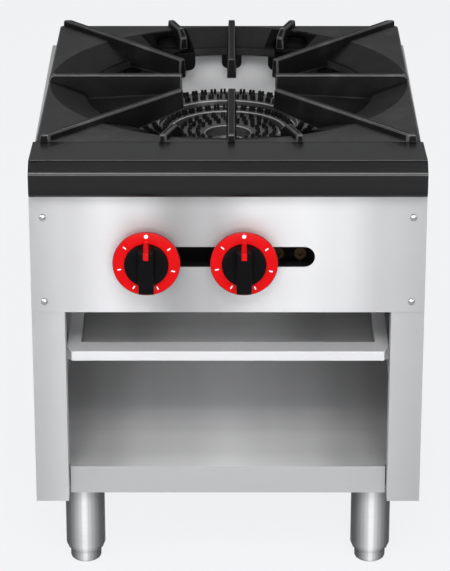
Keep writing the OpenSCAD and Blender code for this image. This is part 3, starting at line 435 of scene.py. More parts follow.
@dataclass(frozen=True)
class Plastic(Finish):
    """Moulded plastic with a fine spark-eroded grain.

    Attributes:
        grain: Bumps per metre of the grain.
        shine: Specular level.
    """

    grain: float = 1600.0
    shine: float = 0.25

    def draw(self, graph: Graph) -> None:
        """Mould grain in the normal, and a faint drift of the colour."""
        at = graph.place()
        skin = graph.noise(at, self.grain, 2.0)
        slow = graph.noise(at, 40.0, 2.0)
        graph.shade(
            base_color=graph.tinted(self.colour, slow.swing(0.16) + 1.0),
            roughness=skin.swing(0.1) + slow.swing(0.08) + self.rough,
            specular_ior_level=self.shine,
            normal=graph.bumped(skin, 0.00003, 0.5),
        )


@dataclass(frozen=True)
class TurnedMetal(Finish):
    """Turned, drawn or machined metal with rings about the upright axis.

    Attributes:
        grain: Rings per metre, as a stretch of the pattern.
        posts: Middle and half spacing, along X and then Y, of four upright tubes that get a painted
        reflection, light and dark lengthwise bands; empty for none.
        metal: How metallic the surface is.
    """

    grain: float = 700.0
    posts: tuple[float, ...] = ()
    metal: float = 1.0

    def painted_sheen(self, graph: Graph) -> Wire:
        """Painted reflection: lengthwise light and dark bands of a polished tube, from the place
        around it.
        """
        squares = []
        for letter, centre, spacing in zip("XY", self.posts[::2], self.posts[1::2]):
            off = abs(graph.axis(letter) - centre) - spacing
            squares.append(off * off)
        tiny = 1e-9
        share = squares[0] / (squares[0] + squares[1] + tiny)
        return graph.node("ShaderNodeValToRGB", {"stops": TUBE_SHEEN_TONES}, {0: share})

    def draw(self, graph: Graph) -> None:
        """Fine rings across the axis and a slow tarnish."""
        rings = graph.noise(graph.place((20.0, 20.0, self.grain)), 1.0, 2.0)
        slow = graph.noise(graph.place(), 30.0, 3.0)
        tone = rings.swing(0.1) + slow.swing(0.16) + 1.0
        # Painted reflection: light and dark lengthwise bands on the legs and feet.
        if self.posts:
            tone = tone * self.painted_sheen(graph)
        graph.shade(
            base_color=graph.tinted(self.colour, tone),
            metallic=self.metal,
            specular_ior_level=0.15,
            specular_tint=(0.35, 0.35, 0.35, 1.0),
            roughness=rings.swing(0.12) + slow.swing(0.1) + self.rough,
            normal=graph.bumped(rings, 0.00003, 0.4),
        )


@dataclass(frozen=True)
class Spangle(Finish):
    """Galvanised sheet, with the crystals of the zinc.

    Attributes:
        size: Crystals per metre.
    """

    size: float = 160.0

    def draw(self, graph: Graph) -> None:
        """Flat cells of slightly different tone."""
        cells = graph.node(
            "ShaderNodeTexVoronoi", {}, {"Vector": graph.place(), "Scale": self.size}, "Color"
        )
        tone = graph.node("ShaderNodeSeparateXYZ", {}, {"Vector": cells}, "X")
        slow = graph.noise(graph.place(), 12.0, 3.0)
        graph.shade(
            base_color=graph.tinted(self.colour, tone.swing(0.14) + slow.swing(0.2) + 1.0),
            metallic=1.0,
            roughness=tone.swing(0.14) + self.rough,
            normal=graph.bumped(slow, 0.0002, 0.2),
        )


def grey(tone: float) -> Colour:
    """A neutral colour."""
    return (tone, tone, tone)


def post_places() -> tuple[float, ...]:
    """Middle and half spacing of the four legs, along X and then Y."""
    near, far = middle("leg_front_left"), middle("leg_rear_right")
    centre, half = (far + near) / 2, (far - near) / 2
    return (centre.x, half.x, centre.y, half.y)


# Right ends of the panel and of the space between the liners, which the bands span
PANEL_END = corners("control_panel")[1].x
INSIDE_END = corners("side_liner_right")[0].x
LEG_POSTS = post_places()
# Painted reflection: tones of a polished tube, bright where it faces front or back and dark towards
# its sides.
TUBE_SHEEN_TONES = (
    (0.0, 1.0), (0.04, 0.66), (0.16, 0.44), (0.36, 0.26), (0.6, 0.15), (0.8, 0.13), (0.96, 0.18),
    (1.0, 0.26))
# Painted reflection: the panel's soft light and dark upright bands, as brushed steel mirrors its
# surroundings, painted into its colour.
PANEL_REFLECTION_BANDS = (
    Band("X", -PANEL_END, PANEL_END, (
        (0.0, 0.57), (0.09, 0.7), (0.2, 0.9), (0.27, 0.79), (0.37, 0.465), (0.45, 0.555),
        (0.58, 0.88), (0.69, 0.937), (0.78, 0.86), (0.9, 0.635), (1.0, 0.56))),
)
# Painted shade on the shelf: darker towards both sides and over its front part, which evens out the
# edge of the light that falls on it.
SHELF_SHADE_BANDS = (
    Band("X", -INSIDE_END, INSIDE_END, (
        (0.0, 0.47), (0.1, 0.6), (0.24, 0.84), (0.37, 0.88), (0.5, 1.0), (0.63, 0.87),
        (0.74, 0.79), (0.9, 0.54), (1.0, 0.42))),
    Band("Y", -250 * MM, 100 * MM, (
        (0.0, 0.7), (0.1, 0.71), (0.21, 0.65), (0.29, 0.67), (0.37, 0.71), (0.46, 0.88),
        (0.54, 1.0), (1.0, 1.0))),
)
# Painted shade on the drip tray: darker towards both sides and towards the back.
TRAY_SHADE_BANDS = (
    Band("X", -INSIDE_END, INSIDE_END, (
        (0.0, 0.45), (0.2, 0.72), (0.34, 1.0), (0.66, 1.0), (0.8, 0.64), (1.0, 0.4))),
    Band("Y", -210 * MM, -110 * MM, ((0.0, 1.0), (0.35, 0.95), (0.75, 0.75), (1.0, 0.66))),
)
# Bands of the rear wall: the first darkens its top, where it meets the grate's underside; the
# second is painted shade at both sides, leaving a painted pool of light in the middle.
REAR_SOOT_AND_SHADE = (
    Band("Z", 497 * MM, 511 * MM, ((0.0, 1.0), (0.4, 0.9), (0.75, 0.12), (1.0, 0.03))),
    Band("X", -100 * MM, 100 * MM, (
        (0.0, 0.03), (0.08, 0.05), (0.21, 0.95), (0.5, 1.0), (0.79, 0.95), (0.92, 0.05),
        (1.0, 0.03))),
)

# Finishes of the record's material slots
FINISHES: dict[str, Finish] = {
    "cast_iron_grate": CastIron(
        "black cast iron", (0.02, 0.02, 0.021), 0.52, pale=(0.042, 0.042, 0.043), shine=0.15),
    "black_enamel": Enamel("satin black enamel", (0.004, 0.004, 0.0045), 0.24, shine=0.42),
    "panel_steel": SheetSteel(
        "brushed stainless", (0.8, 0.8, 0.81), 0.48, bands=PANEL_REFLECTION_BANDS, streak=0.03, cloud=0.02,
        metal=0.5),
    "liner_steel": SheetSteel(
        "mill stainless", (0.66, 0.66, 0.67), 0.45, Grain.UPRIGHT, cloud=0.1, metal=0.3),
    "shelf_steel": SheetSteel(
        "shelf stainless", (0.98, 0.98, 0.985), 0.42, bands=SHELF_SHADE_BANDS, streak=0.04, metal=0.08),
    "tray_steel": SheetSteel(
        "tray stainless", (0.95, 0.95, 0.96), 0.36, bands=TRAY_SHADE_BANDS, cloud=0.06, metal=0.25),
    "galvanised_steel": Spangle("galvanised sheet", (0.42, 0.42, 0.43), 0.42),
    "cast_iron_burner": CastIron(
        "burner casting", grey(0.045), 0.5, pale=grey(0.14), grain=700.0, depth=0.0002),
    # Painted shade: the valves' brass is darkened for the dark space behind the panel.
    "valve_brass": TurnedMetal("shade-darkened brass", (0.045, 0.03, 0.015), 0.5),
    "screw_steel": TurnedMetal("polished screw steel", (0.7, 0.7, 0.71), 0.22),
    "red_plastic": Plastic("red plastic", (0.5, 0.001, 0.002), 0.34, shine=0.08),
    "black_plastic": Plastic("black plastic", (0.0015, 0.0015, 0.002), 0.4, shine=0.09),
    "red_pointer": Plastic("pointer red", (0.5, 0.001, 0.002), 0.36, shine=0.1),
    "black_iron_pipe": Enamel(
        "black pipe", (0.006, 0.006, 0.0065), 0.5, peel=500.0, shine=0.1),
    "aluminium_tube": TurnedMetal("drawn aluminium", (0.62, 0.62, 0.64), 0.32),
    "leg_steel": TurnedMetal(
        "polished leg tube", (0.95, 0.95, 0.96), 0.22, posts=LEG_POSTS, metal=0.5),
    "foot_steel": TurnedMetal(
        "turned foot", (0.88, 0.88, 0.89), 0.24, posts=LEG_POSTS, metal=0.5),
}

# Finishes of single places: sooty ports, a darker dish, and copies with painted highlights and
# painted shade
WHITE_INK = Plastic("white marking", (0.85, 0.8, 0.78), 0.45)
# Painted shade: a darker red on the dial's rounded rim.
DIAL_RIM_SHADE = Plastic("dark red rim", (0.3, 0.002, 0.004), 0.4)
# Painted highlight: lighter iron on the burner castings' rounded edges.
RING_EDGE_HIGHLIGHT = CastIron(
    "painted highlight ring edge", grey(0.3), 0.4, pale=grey(0.5), grain=700.0, depth=0.0001, shine=0.6)
SOOTY_PORT = CastIron(
    "sooty port iron", grey(0.004), 0.7, pale=grey(0.012), grain=1200.0, depth=0.0002, shine=0.2)
# Darker, duller iron on the dish than on the flat plate.
DISH_IRON = CastIron("darker dish iron", grey(0.005), 0.6, pale=grey(0.012), shine=0.1)
# Painted shade: near-black iron on the ribs and lugs, one casting with the plate, where their sides
# stand in shade.
RIB_SHADE_IRON = CastIron("rib iron", grey(0.003), 0.56, pale=grey(0.01), shine=0.12)
# Painted shade: near-black iron round each notch.
NOTCH_SHADE_IRON = CastIron("burnt iron", grey(0.0015), 0.7, pale=grey(0.003), depth=0.0002, shine=0.03)
# Painted highlight: lighter iron on the rounded edges of the plate's sides and of the ribs.
EDGE_HIGHLIGHT_IRON = CastIron("painted highlight iron edge", grey(0.03), 0.42, pale=grey(0.08), depth=0.0002)
WALL_STEEL = SheetSteel(
    "wall stainless", (0.95, 0.95, 0.96), 0.42, Grain.UPRIGHT, REAR_SOOT_AND_SHADE, cloud=0.12, metal=0.12)
# Painted shade: a darker copy of the shelf's steel for its upright front, which faces the lamps.
FLANGE_SHADE_STEEL = SheetSteel(
    "shelf flange stainless", (0.36, 0.36, 0.365), 0.42, streak=0.04, cloud=0.03, metal=0.1)
RIM_STEEL = SheetSteel("tray rim stainless", (0.62, 0.62, 0.63), 0.36, metal=0.25)
# Painted shade: a near-black sheet for the front heat shield, which stands in the dark behind the
# panel's slot.
SHADE_SHEET = Spangle("near-black shade sheet", grey(0.012), 0.6)


# Meshes


def linked(name: str, data: bpy.types.ID) -> bpy.types.Object:
    """Puts a mesh, lamp or camera in the scene as an object at the origin."""
    made = bpy.data.objects.new(name, data)
    bpy.context.scene.collection.objects.link(made)
    return made


def solid(name: str, shape: bmesh.types.BMesh, sharp: float = 38.0) -> bpy.types.Object:
    """Turns a bmesh into an object with smooth faces and sharp edges.

    Args:
        name: Name of the object.
        shape: The bmesh, which is freed.
        sharp: Angle in degrees from which an edge is sharp.

    Returns:
        The object.
    """
    bmesh.ops.remove_doubles(shape, verts=shape.verts, dist=WELD)
    bmesh.ops.recalc_face_normals(shape, faces=shape.faces)
    mesh = bpy.data.meshes.new(name)
    shape.to_mesh(mesh)
    shape.free()
    mesh.polygons.foreach_set("use_smooth", [True] * len(mesh.polygons))
    mesh.set_sharp_from_angle(angle=math.radians(sharp))
    return linked(name, mesh)


def baked(piece: bpy.types.Object) -> bpy.types.Object:
    """Replaces a piece's mesh by what its modifiers make of it, and removes them."""
    graph = bpy.context.evaluated_depsgraph_get()
    graph.update()
    mesh = bpy.data.meshes.new_from_object(piece.evaluated_get(graph))
    piece.modifiers.clear()
    piece.data = mesh
    return piece


def softened(
    piece: bpy.types.Object, width: float, segments: int = 2, angle: float = 32.0, slot: int = -1
) -> bpy.types.Object:
    """Rounds a piece's edges.

    Args:
        piece: The piece.
        width: Width of the rounding.
        segments: Steps of the rounding.
        angle: Angle in degrees from which an edge is rounded.
        slot: Material slot of the rounding, or -1 for its neighbours' own.

    Returns:
        The same piece.
    """
    bevel = piece.modifiers.new("edges", "BEVEL")
    bevel.width = width
    bevel.segments = segments
    bevel.limit_method = "ANGLE"
    bevel.angle_limit = math.radians(angle)
    bevel.material = slot
    bevel.use_clamp_overlap = True
    even = piece.modifiers.new("faces", "WEIGHTED_NORMAL")
    even.keep_sharp = True
    baked(piece)
    return piece


def copied(node: str, width: float = 0.4 * MM, segments: int = 2) -> bpy.types.Object:
    """A copy of a node's solid with merged faces and rounded edges.

    Args:
        node: Name of the node.
        width: Width of the rounding, or 0 for none.
        segments: Steps of the rounding.

    Returns:
        The copy.
    """
    shape = bmesh.new()
    shape.from_mesh(frame["nodes"][node].data)
    bmesh.ops.remove_doubles(shape, verts=shape.verts, dist=2 * WELD)
    bmesh.ops.dissolve_limit(
        shape, angle_limit=math.radians(0.4), verts=shape.verts, edges=shape.edges
    )
    mesh = bpy.data.meshes.new(node + "_dressed")
    shape.to_mesh(mesh)
    shape.free()
    mesh.polygons.foreach_set("use_smooth", [True] * len(mesh.polygons))
    mesh.set_sharp_from_angle(angle=math.radians(32.0))
    piece = linked(node + "_dressed", mesh)
    return softened(piece, width, segments) if width else piece


def arc(centre: Point, radius: float, start: float, end: float, steps: int) -> list[Point]:
    """Points on an arc, its ends included.

    Args:
        centre: Centre of the arc.
        radius: Radius of the arc.
        start: First angle in degrees.
        end: Last angle in degrees.
        steps: Number of steps.

    Returns:
        The points.
    """
    turns = [math.radians(start + (end - start) * i / steps) for i in range(steps + 1)]
    return [(centre[0] + radius * math.cos(a), centre[1] + radius * math.sin(a)) for a in turns]


def turned(
    name: str,
    profile: Sequence[Point],
    segments: int = 96,
    centre: Sequence[float] = (0.0, 0.0, 0.0),
    sharp: float = 38.0,
) -> bpy.types.Object:
    """A solid turned about the upright axis from a closed profile.

    Args:
        name: Name of the object.
        profile: Radius and height of each point; the loop closes by itself.
        segments: Steps around the axis.
        centre: Where the axis and height 0 lie.
        sharp: Angle in degrees from which an edge is sharp.

    Returns:
        The object.
    """
    shape = bmesh.new()
    rings = []
    for radius, height in profile:
        steps = 1 if radius < WELD else segments
        rings.append([
            shape.verts.new((
                centre[0] + radius * math.cos(2 * math.pi * i / segments),
                centre[1] + radius * math.sin(2 * math.pi * i / segments),
                centre[2] + height,
            ))
            for i in range(steps)
        ])
    for near, far in zip(rings, rings[1:] + rings[:1]):
        joined_rings(shape, near, far, segments)
    return solid(name, shape, sharp)


def joined_rings(
    shape: bmesh.types.BMesh,
    near: list[bmesh.types.BMVert],
    far: list[bmesh.types.BMVert],
    segments: int,
) -> None:
    """Adds the faces between two rings, of which one may be a single point."""
    if len(near) == 1 and len(far) == 1:
        return
    for i in range(segments):
        j = (i + 1) % segments
        if len(near) == 1:
            corners = (near[0], far[i], far[j])
        elif len(far) == 1:
            corners = (near[i], near[j], far[0])
        else:
            corners = (near[i], near[j], far[j], far[i])
        shape.faces.new(corners)


def prism(
    shape: bmesh.types.BMesh, outline: Sequence[Point], half: float, matrix: Matrix
) -> list[bmesh.types.BMVert]:
    """Adds a flat-sided solid with the outline in its local Y-Z plane.

    Args:
        shape: The bmesh that takes it.
        outline: The outline's points.
        half: Half of its thickness, along local X.
        matrix: Turns and moves it into place.

    Returns:
        Its corners.
    """
    sides = [
        [shape.verts.new(matrix @ Vector((x, y, z))) for y, z in outline] for x in (-half, half)
    ]
    count = len(outline)
    shape.faces.new(sides[0])
    shape.faces.new(list(reversed(sides[1])))
    for i in range(count):
        j = (i + 1) % count
        shape.faces.new((sides[0][i], sides[0][j], sides[1][j], sides[1][i]))
    return sides[0] + sides[1]


def coated(piece: bpy.types.Object, *finishes: Finish) -> bpy.types.Object:
    """Gives a piece one material slot for each finish."""
    for finish in finishes:
        piece.data.materials.append(finish.material())
    return piece


def joined(name: str, pieces: Sequence[bpy.types.Object]) -> bpy.types.Object:
    """Joins pieces in one mesh, with their materials.

    Args:
        name: Name of the result.
        pieces: The pieces, which are removed.

    Returns:
        The joined piece.
    """
    with bpy.context.temp_override(
        active_object=pieces[0], selected_editable_objects=list(pieces), object=pieces[0]
    ):
        bpy.ops.object.join()
    pieces[0].name = name
    pieces[0].data.name = name
    return pieces[0]


# Geometry Nodes


class RepeatTree:
    """Base of the trees that repeat a piece and end in one mesh with one material."""

    def __init__(self, name: str) -> None:
        """Makes an empty tree with its output socket."""
        self.tree = bpy.data.node_groups.new(name, "GeometryNodeTree")
        for way in ("INPUT", "OUTPUT"):
            self.tree.interface.new_socket(
                "Geometry", in_out=way, socket_type="NodeSocketGeometry")
        self.keys: dict[str, str] = {}

    def named_inputs(self, **kinds: str) -> bpy.types.Node:
        """Adds inputs, keeps their identifiers and returns the node that holds them.

        Args:
            kinds: Kind of each input, by its name.

        Returns:
            The group's input node.
        """
        for name, kind in kinds.items():
            made = self.tree.interface.new_socket(
                name, in_out="INPUT", socket_type="NodeSocket" + kind)
            self.keys[name.lower()] = made.identifier
        return self.add("NodeGroupInput", {})

    def add(self, kind: str, sockets: dict, **settings: object) -> bpy.types.Node:
        """Adds a node, with its settings and the links or values of its inputs."""
        made = self.tree.nodes.new(kind)
        for name, value in settings.items():
            setattr(made, name, value)
        for name, value in sockets.items():
            if isinstance(value, bpy.types.NodeSocket):
                self.tree.links.new(value, made.inputs[name])
            else:
                made.inputs[name].default_value = value
        return made

    def close(self, instances: bpy.types.NodeSocket, material: bpy.types.NodeSocket) -> None:
        """Realises the instances, sets the material and ends the tree."""
        real = self.add("GeometryNodeRealizeInstances", {"Geometry": instances})
        dressed = self.add(
            "GeometryNodeSetMaterial", {"Geometry": real.outputs[0], "Material": material}
        )
        self.add("NodeGroupOutput", {"Geometry": dressed.outputs[0]})

    def grow(self, name: str, base: bpy.types.Object, **inputs: object) -> bpy.types.Object:
        """Runs the tree on a base object.

        Args:
            name: Name of the result.
            base: Object that the modifier sits on; its mesh is replaced.
            inputs: Values of the named inputs, in small letters.

        Returns:
            The base object, with the plain result as its mesh.
        """
        modifier = base.modifiers.new(name, "NODES")
        modifier.node_group = self.tree
        for key, value in inputs.items():
            modifier[self.keys[key]] = value
        base.name = name
        return baked(base)


class RoundTree(RepeatTree):
    """Repeats a piece by equal turns about the upright axis."""

    def __init__(self) -> None:
        """Points at the origin carry the piece, each turned one step further."""
        super().__init__("repeat by turns")
        group = self.named_inputs(
            Piece="Object", Count="Int", Start="Float", Step="Float", Material="Material")
        points = self.add("GeometryNodePoints", {"Count": group.outputs["Count"]})
        index = self.add("GeometryNodeInputIndex", {})
        turn = self.add(
            "ShaderNodeMath",
            {0: index.outputs[0], 1: group.outputs["Step"], 2: group.outputs["Start"]},
            operation="MULTIPLY_ADD",
        )
        spin = self.add("ShaderNodeCombineXYZ", {"Z": turn.outputs[0]})
        piece = self.add("GeometryNodeObjectInfo", {"Object": group.outputs["Piece"]})
        copies = self.add(
            "GeometryNodeInstanceOnPoints",
            {
                "Points": points.outputs[0],
                "Instance": piece.outputs["Geometry"],
                "Rotation": spin.outputs[0],
            },
        )
        self.close(copies.outputs[0], group.outputs["Material"])


class PlaceTree(RepeatTree):
    """Puts a piece on every vertex of the base mesh, with one turn for all."""

    def __init__(self) -> None:
        """The base's vertices carry the piece."""
        super().__init__("repeat on places")
        group = self.named_inputs(Piece="Object", Turn="Vector", Material="Material")
        piece = self.add("GeometryNodeObjectInfo", {"Object": group.outputs["Piece"]})
        copies = self.add(
            "GeometryNodeInstanceOnPoints",
            {
                "Points": group.outputs["Geometry"],
                "Instance": piece.outputs["Geometry"],
                "Rotation": group.outputs["Turn"],
            },
        )
        self.close(copies.outputs[0], group.outputs["Material"])


def empty_base(name: str, places: Sequence[Sequence[float]] = ()) -> bpy.types.Object:
    """An object whose mesh has only vertices.

    Args:
        name: Name of the object.
        places: Where the vertices lie.

    Returns:
        The object.
    """
    mesh = bpy.data.meshes.new(name)
    mesh.from_pydata([tuple(p) for p in places], [], [])
    return linked(name, mesh)


def discard(*pieces: bpy.types.Object) -> None:
    """Removes helper objects."""
    for piece in pieces:
        bpy.data.objects.remove(piece)


# Placing


def dress(
    piece: bpy.types.Object,
    nodes: Sequence[str],
    finish: Optional[Finish] = None,
    rides_with: Optional[str] = None,
) -> bpy.types.Object:
    """Gives a piece its finish, body and slot, and lets it stand for nodes.

    Args:
        piece: The piece.
        nodes: Nodes that it stands for; may be empty.
        finish: Its finish, or that of the first node's slot.
        rides_with: Node whose body carries it, where it stands for none.

    Returns:
        The piece.
    """
    guide = nodes[0] if nodes else rides_with
    slot = SLOT_OF[guide]
    if finish is not None or not piece.data.materials:
        piece.data.materials.clear()
        piece.data.materials.append((finish or FINISHES[slot]).material())
    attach(piece, BODY_OF[guide])
    if nodes:
        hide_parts(*nodes)
    LOG.info("%s: %d faces, rides on %s", piece.name, len(piece.data.polygons), BODY_OF[guide])
    return piece


# Sub-assemblies


@dataclass
class TopGrate:
    """The cast grate: a square plate that dips to a round hole, with ribs and lugs.

    Attributes:
        rib_width: Thickness of a rib at its top.
        rib_base: Its thickness at the plate.
        rib_square: Half of the square on which the long ribs end.
        rib_end: Height of a rib's inner end.
        cast: Thickness of the casting.
        dish_radius: Outer edge of the dish.
        hole_radius: Radius of the hole.
        fall: Fall of the dish.
        lip: Height of the lip around the hole.
        short_turn: Turn of a short rib from the middle one, in degrees.
        shift: Offset of the front and rear ribs to the right.
        corner_in: Distance between a corner rib's end and the plate's side edge.
        front_width: Share of the plate's width at its front.
        rear_width: Share of the plate's width at its rear.
        front_aside: How far the casting's front lies to the right.
        rear_aside: How far its rear lies to the right.
        short_in: Distance of a short rib's inner end from the hole.
        short_edge: Distance from the hole at which it meets the dish.
        nose_fall: Height of the slope at a short rib's inner end.
        nose_run: Length of that slope.
        over_end: How far a slanting rib is drawn past the plate before it is cut flush.
        notch_radius: Radius of the notches beside the short ribs.
        notch_turn: Turn of a notch from the middle rib, in degrees.
        notch_out: Distance of a notch's middle from the hole.
        shade_band: Width of the painted shade round a notch.
        lug_width: Width of a lug under a rib.
        lug_drop: Length of a lug below the lip.
        corner_radius: Rounding of the plate's corners in plan.
        edge: Rounding of the plate's upper edge.
    """

    rib_width: float = 8 * MM
    rib_base: float = 12 * MM
    rib_square: float = 58 * MM
    rib_end: float = 25 * MM
    cast: float = 6 * MM
    dish_radius: float = 221 * MM
    hole_radius: float = 178 * MM
    fall: float = 13 * MM
    lip: float = 12 * MM
    short_turn: float = 19.5
    shift: float = 3.5 * MM
    corner_in: float = 9.5 * MM
    front_width: float = 0.9938
    rear_width: float = 0.9794
    front_aside: float = 0.4 * MM
    rear_aside: float = 1.6 * MM
    short_in: float = 9 * MM
    short_edge: float = 29 * MM
    nose_fall: float = 9 * MM
    nose_run: float = 14 * MM
    over_end: float = 8 * MM
    notch_radius: float = 22 * MM
    notch_turn: float = 23.5
    notch_out: float = 15 * MM
    shade_band: float = 5 * MM
    lug_width: float = 26 * MM
    lug_drop: float = 18 * MM
    corner_radius: float = 5 * MM
    edge: float = 2 * MM

    def __post_init__(self) -> None:
        """Takes the outline and the levels from the nodes."""
        low, high = corners("top_grate")
        self.centre = Vector(((low.x + high.x) / 2, (low.y + high.y) / 2, 0.0))
        self.half = Vector(((high.x - low.x) / 2, (high.y - low.y) / 2))
        self.top = corners("grate_ribs")[1].z
        self.rim = high.z
        self.dish = self.rim - self.fall
        self.lip_low = self.dish - self.lip
        self.over_hole = self.hole_radius + 2 * MM

    def outline(self, inset: float) -> list[Vector]:
        """The plate's outline with rounded corners, as points from the centre.

        Args:
            inset: Distance inside the real outline.

        Returns:
            The points, always as many.
        """
        side_steps, corner_steps = 22, 5
        radius = max(self.corner_radius - inset, 0.3 * MM)
        wide, deep = self.half.x - inset, self.half.y - inset
        points: list[Vector] = []
        for quarter in range(4):
            across, along = (wide, deep) if quarter % 2 == 0 else (deep, wide)
            turn = Matrix.Rotation(math.radians(90 * quarter), 2)
            for i in range(side_steps):
                share = i / side_steps
                reach = along - radius
                points.append(turn @ Vector((across, -reach + 2 * reach * share)))
            for x, y in arc((across - radius, along - radius), radius, 0, 90, corner_steps)[:-1]:
                points.append(turn @ Vector((x, y)))
        return points

    def plate(self) -> bpy.types.Object:
        """The plate with its dish, lip, rim wall and underside, as one closed skin."""
        low = corners("grate_rest_rail")[1].z
        edge_in = self.outline(self.edge)
        wall_in = self.outline(self.cast)

        def ring(radius: float, fence: list[Vector]) -> list[Vector]:
            """A circle that stays inside a fence of points."""
            return [p.normalized() * min(radius, p.length - 0.4 * MM) for p in fence]

        steps = [(self.outline(0.0), low), (self.outline(0.0), self.rim - self.edge)]
        for turn in (30, 60):
            sweep = math.radians(turn)
            inset = self.edge * (1 - math.cos(sweep))
            steps.append((self.outline(inset), self.rim - self.edge * (1 - math.sin(sweep))))
        steps.append((edge_in, self.rim))
        for radius, height in (
            (self.dish_radius + 1.4 * MM, self.rim),
            (self.dish_radius - 1.6 * MM, self.rim - 0.7 * MM),
            (self.hole_radius + 3.5 * MM, self.dish + 0.7 * MM),
            (self.hole_radius + 1.2 * MM, self.dish - 0.3 * MM),
            (self.hole_radius, self.dish - 2.2 * MM),
            (self.hole_radius, self.lip_low + 1.2 * MM),
            (self.hole_radius + 1.2 * MM, self.lip_low),
            (self.hole_radius + self.cast - 1.2 * MM, self.lip_low),
            (self.hole_radius + self.cast, self.lip_low + 1.2 * MM),
            (self.hole_radius + self.cast, self.dish - self.cast / 2),
        ):
            steps.append((ring(radius, edge_in), height))
        steps.append((ring(self.dish_radius, wall_in), self.rim - self.cast))
        steps.append((wall_in, self.rim - self.cast))
        steps.append((wall_in, low))
        shape = bmesh.new()
        rings = [
            [shape.verts.new((self.centre.x + p.x, self.centre.y + p.y, z)) for p in points]
            for points, z in steps
        ]
        for near, far in zip(rings, rings[1:] + rings[:1]):
            joined_rings(shape, near, far, len(near))
        plate = coated(solid("grate_plate", shape, 30.0), DISH_IRON, FINISHES["cast_iron_grate"],
                       EDGE_HIGHLIGHT_IRON, NOTCH_SHADE_IRON)
        for turn in self.end_turns(self.notch_turn):
            self.cut_notch(plate, turn)
        for face in plate.data.polygons:
            face.material_index = self.plate_face(face.center).value
        return plate

    def plate_face(self, place: Vector) -> PlateFace:
        """The finish that the plate has at a place.

        Args:
            place: Middle of one of its faces.

        Returns:
            The finish.
        """
        away = (place - self.centre).xy
        at_side = max(abs(away.x) - self.half.x, abs(away.y) - self.half.y) > -self.edge
        at_front = away.y < -self.half.y + self.edge
        on_edge = self.rim - self.edge < place.z < self.rim - 0.1 * MM
        in_hole = away.length < self.hole_radius + 1 * MM and place.z < self.dish - 3 * MM
        # Painted highlight along the plate's side edges.
        if at_side and not at_front and on_edge:
            return PlateFace.WORN
        if at_side or away.length > self.dish_radius:
            return PlateFace.TOP
        # Painted shade round the notches.
        if self.near_notch(place):
            return PlateFace.BURNT
        return PlateFace.TOP if in_hole else PlateFace.DISH

    def near_notch(self, place: Vector) -> bool:
        """Whether a place lies on the painted shade round a notch."""
        spots = [turn @ Vector((0, self.hole_radius + self.notch_out, 0))
                 for turn in self.end_turns(self.notch_turn)]
        nearest = min((place - spot).xy.length for spot in spots)
        return nearest < self.notch_radius + self.shade_band

    def end_turns(self, turn: float) -> list[Matrix]:
        """Matrices that turn +Y to both sides of the front and rear middles."""
        home = Matrix.Translation(self.centre + Vector((self.shift, 0.0, 0.0)))
        return [
            home @ Matrix.Rotation(math.radians(half_turn + side * turn), 4, "Z")
            for half_turn in (0, 180) for side in (-1, 1)
        ]

    def cut_notch(self, plate: bpy.types.Object, turn: Matrix) -> None:
        """Cuts one round notch through the dish, down to the lip's lower part.

        Args:
            plate: The plate.
            turn: Turns +Y to the notch.
        """
        bottom = self.lip_low + 6 * MM
        cutter = turned("notch", [
            (0.0, bottom), (self.notch_radius, bottom), (self.notch_radius, self.rim + 0.2 * MM),
            (self.notch_radius + 2 * MM, self.rim + 4 * MM), (0.0, self.rim + 4 * MM)], 48)
        away = Matrix.Translation((0, self.hole_radius + self.notch_out, 0))
        cutter.data.transform(turn @ away)
        cut = plate.modifiers.new("notch", "BOOLEAN")
        cut.operation = "DIFFERENCE"
        cut.solver = "EXACT"
        cut.object = cutter
        baked(plate)
        discard(cutter)

    def rib(
        self, inner: float, outer: float, hole: float, dish: float, at: Matrix,
        short: bool = False, tip: float = 1.5 * MM,
    ) -> bpy.types.Object:
        """One rib along local Y.

        Args:
            inner: Where the rib starts, from the origin of the matrix.
            outer: Where it ends.
            hole: Where it meets the hole's edge.
            dish: Where it meets the dish's outer edge.
            at: Turns and moves it into place.
            short: Whether it stands behind the hole's edge, over its notch.
            tip: Cut of its outer end's upper corner.

        Returns:
            The rib.
        """
        bed = self.cast / 2
        low = self.top - self.rib_end
        slope = self.fall / (self.dish_radius - self.hole_radius)
        edge = self.dish + (hole - self.hole_radius) * slope if short else self.dish
        foot = low if short else self.lip_low + 1 * MM
        start = [(inner, low), (inner, self.top)]
        if short:
            start[1:] = [(inner, self.top - self.nose_fall), (inner + self.nose_run, self.top)]
        outline = start + [
            (outer - tip, self.top), (outer, self.top - tip),
            (outer, self.rim - bed), (dish, self.rim - bed), (hole, edge - bed),
            (hole, min(foot, edge - bed - 1 * MM)),
        ]
        shape = bmesh.new()
        for vert in prism(shape, outline, self.rib_base / 2, Matrix.Identity(4)):
            share = min(1.0, max(0.0, (vert.co.z - low) / (self.top - low)))
            vert.co.x *= 1 - (1 - self.rib_width / self.rib_base) * share
        shape.transform(at)
        self.trim(shape)
        piece = coated(solid("rib", shape), RIB_SHADE_IRON, EDGE_HIGHLIGHT_IRON)
        # Painted highlight: the rounding takes the lighter edge iron.
        return softened(piece, 2.2 * MM, 3, 25.0, 1)

    def trim(self, shape: bmesh.types.BMesh) -> None:
        """Cuts a rib flush with the plate's sides."""
        for axis in (0, 1):
            for side in (-1, 1):
                normal = Vector((0.0, 0.0, 0.0))
                normal[axis] = side
                edge = self.centre + normal * (self.half[axis] - 0.2 * MM)
                cut = bmesh.ops.bisect_plane(
                    shape, geom=list(shape.verts) + list(shape.edges) + list(shape.faces),
                    plane_co=edge, plane_no=normal, clear_outer=True)["geom_cut"]
                rim = [part for part in cut if isinstance(part, bmesh.types.BMEdge)]
                if rim:
                    bmesh.ops.holes_fill(shape, edges=rim)

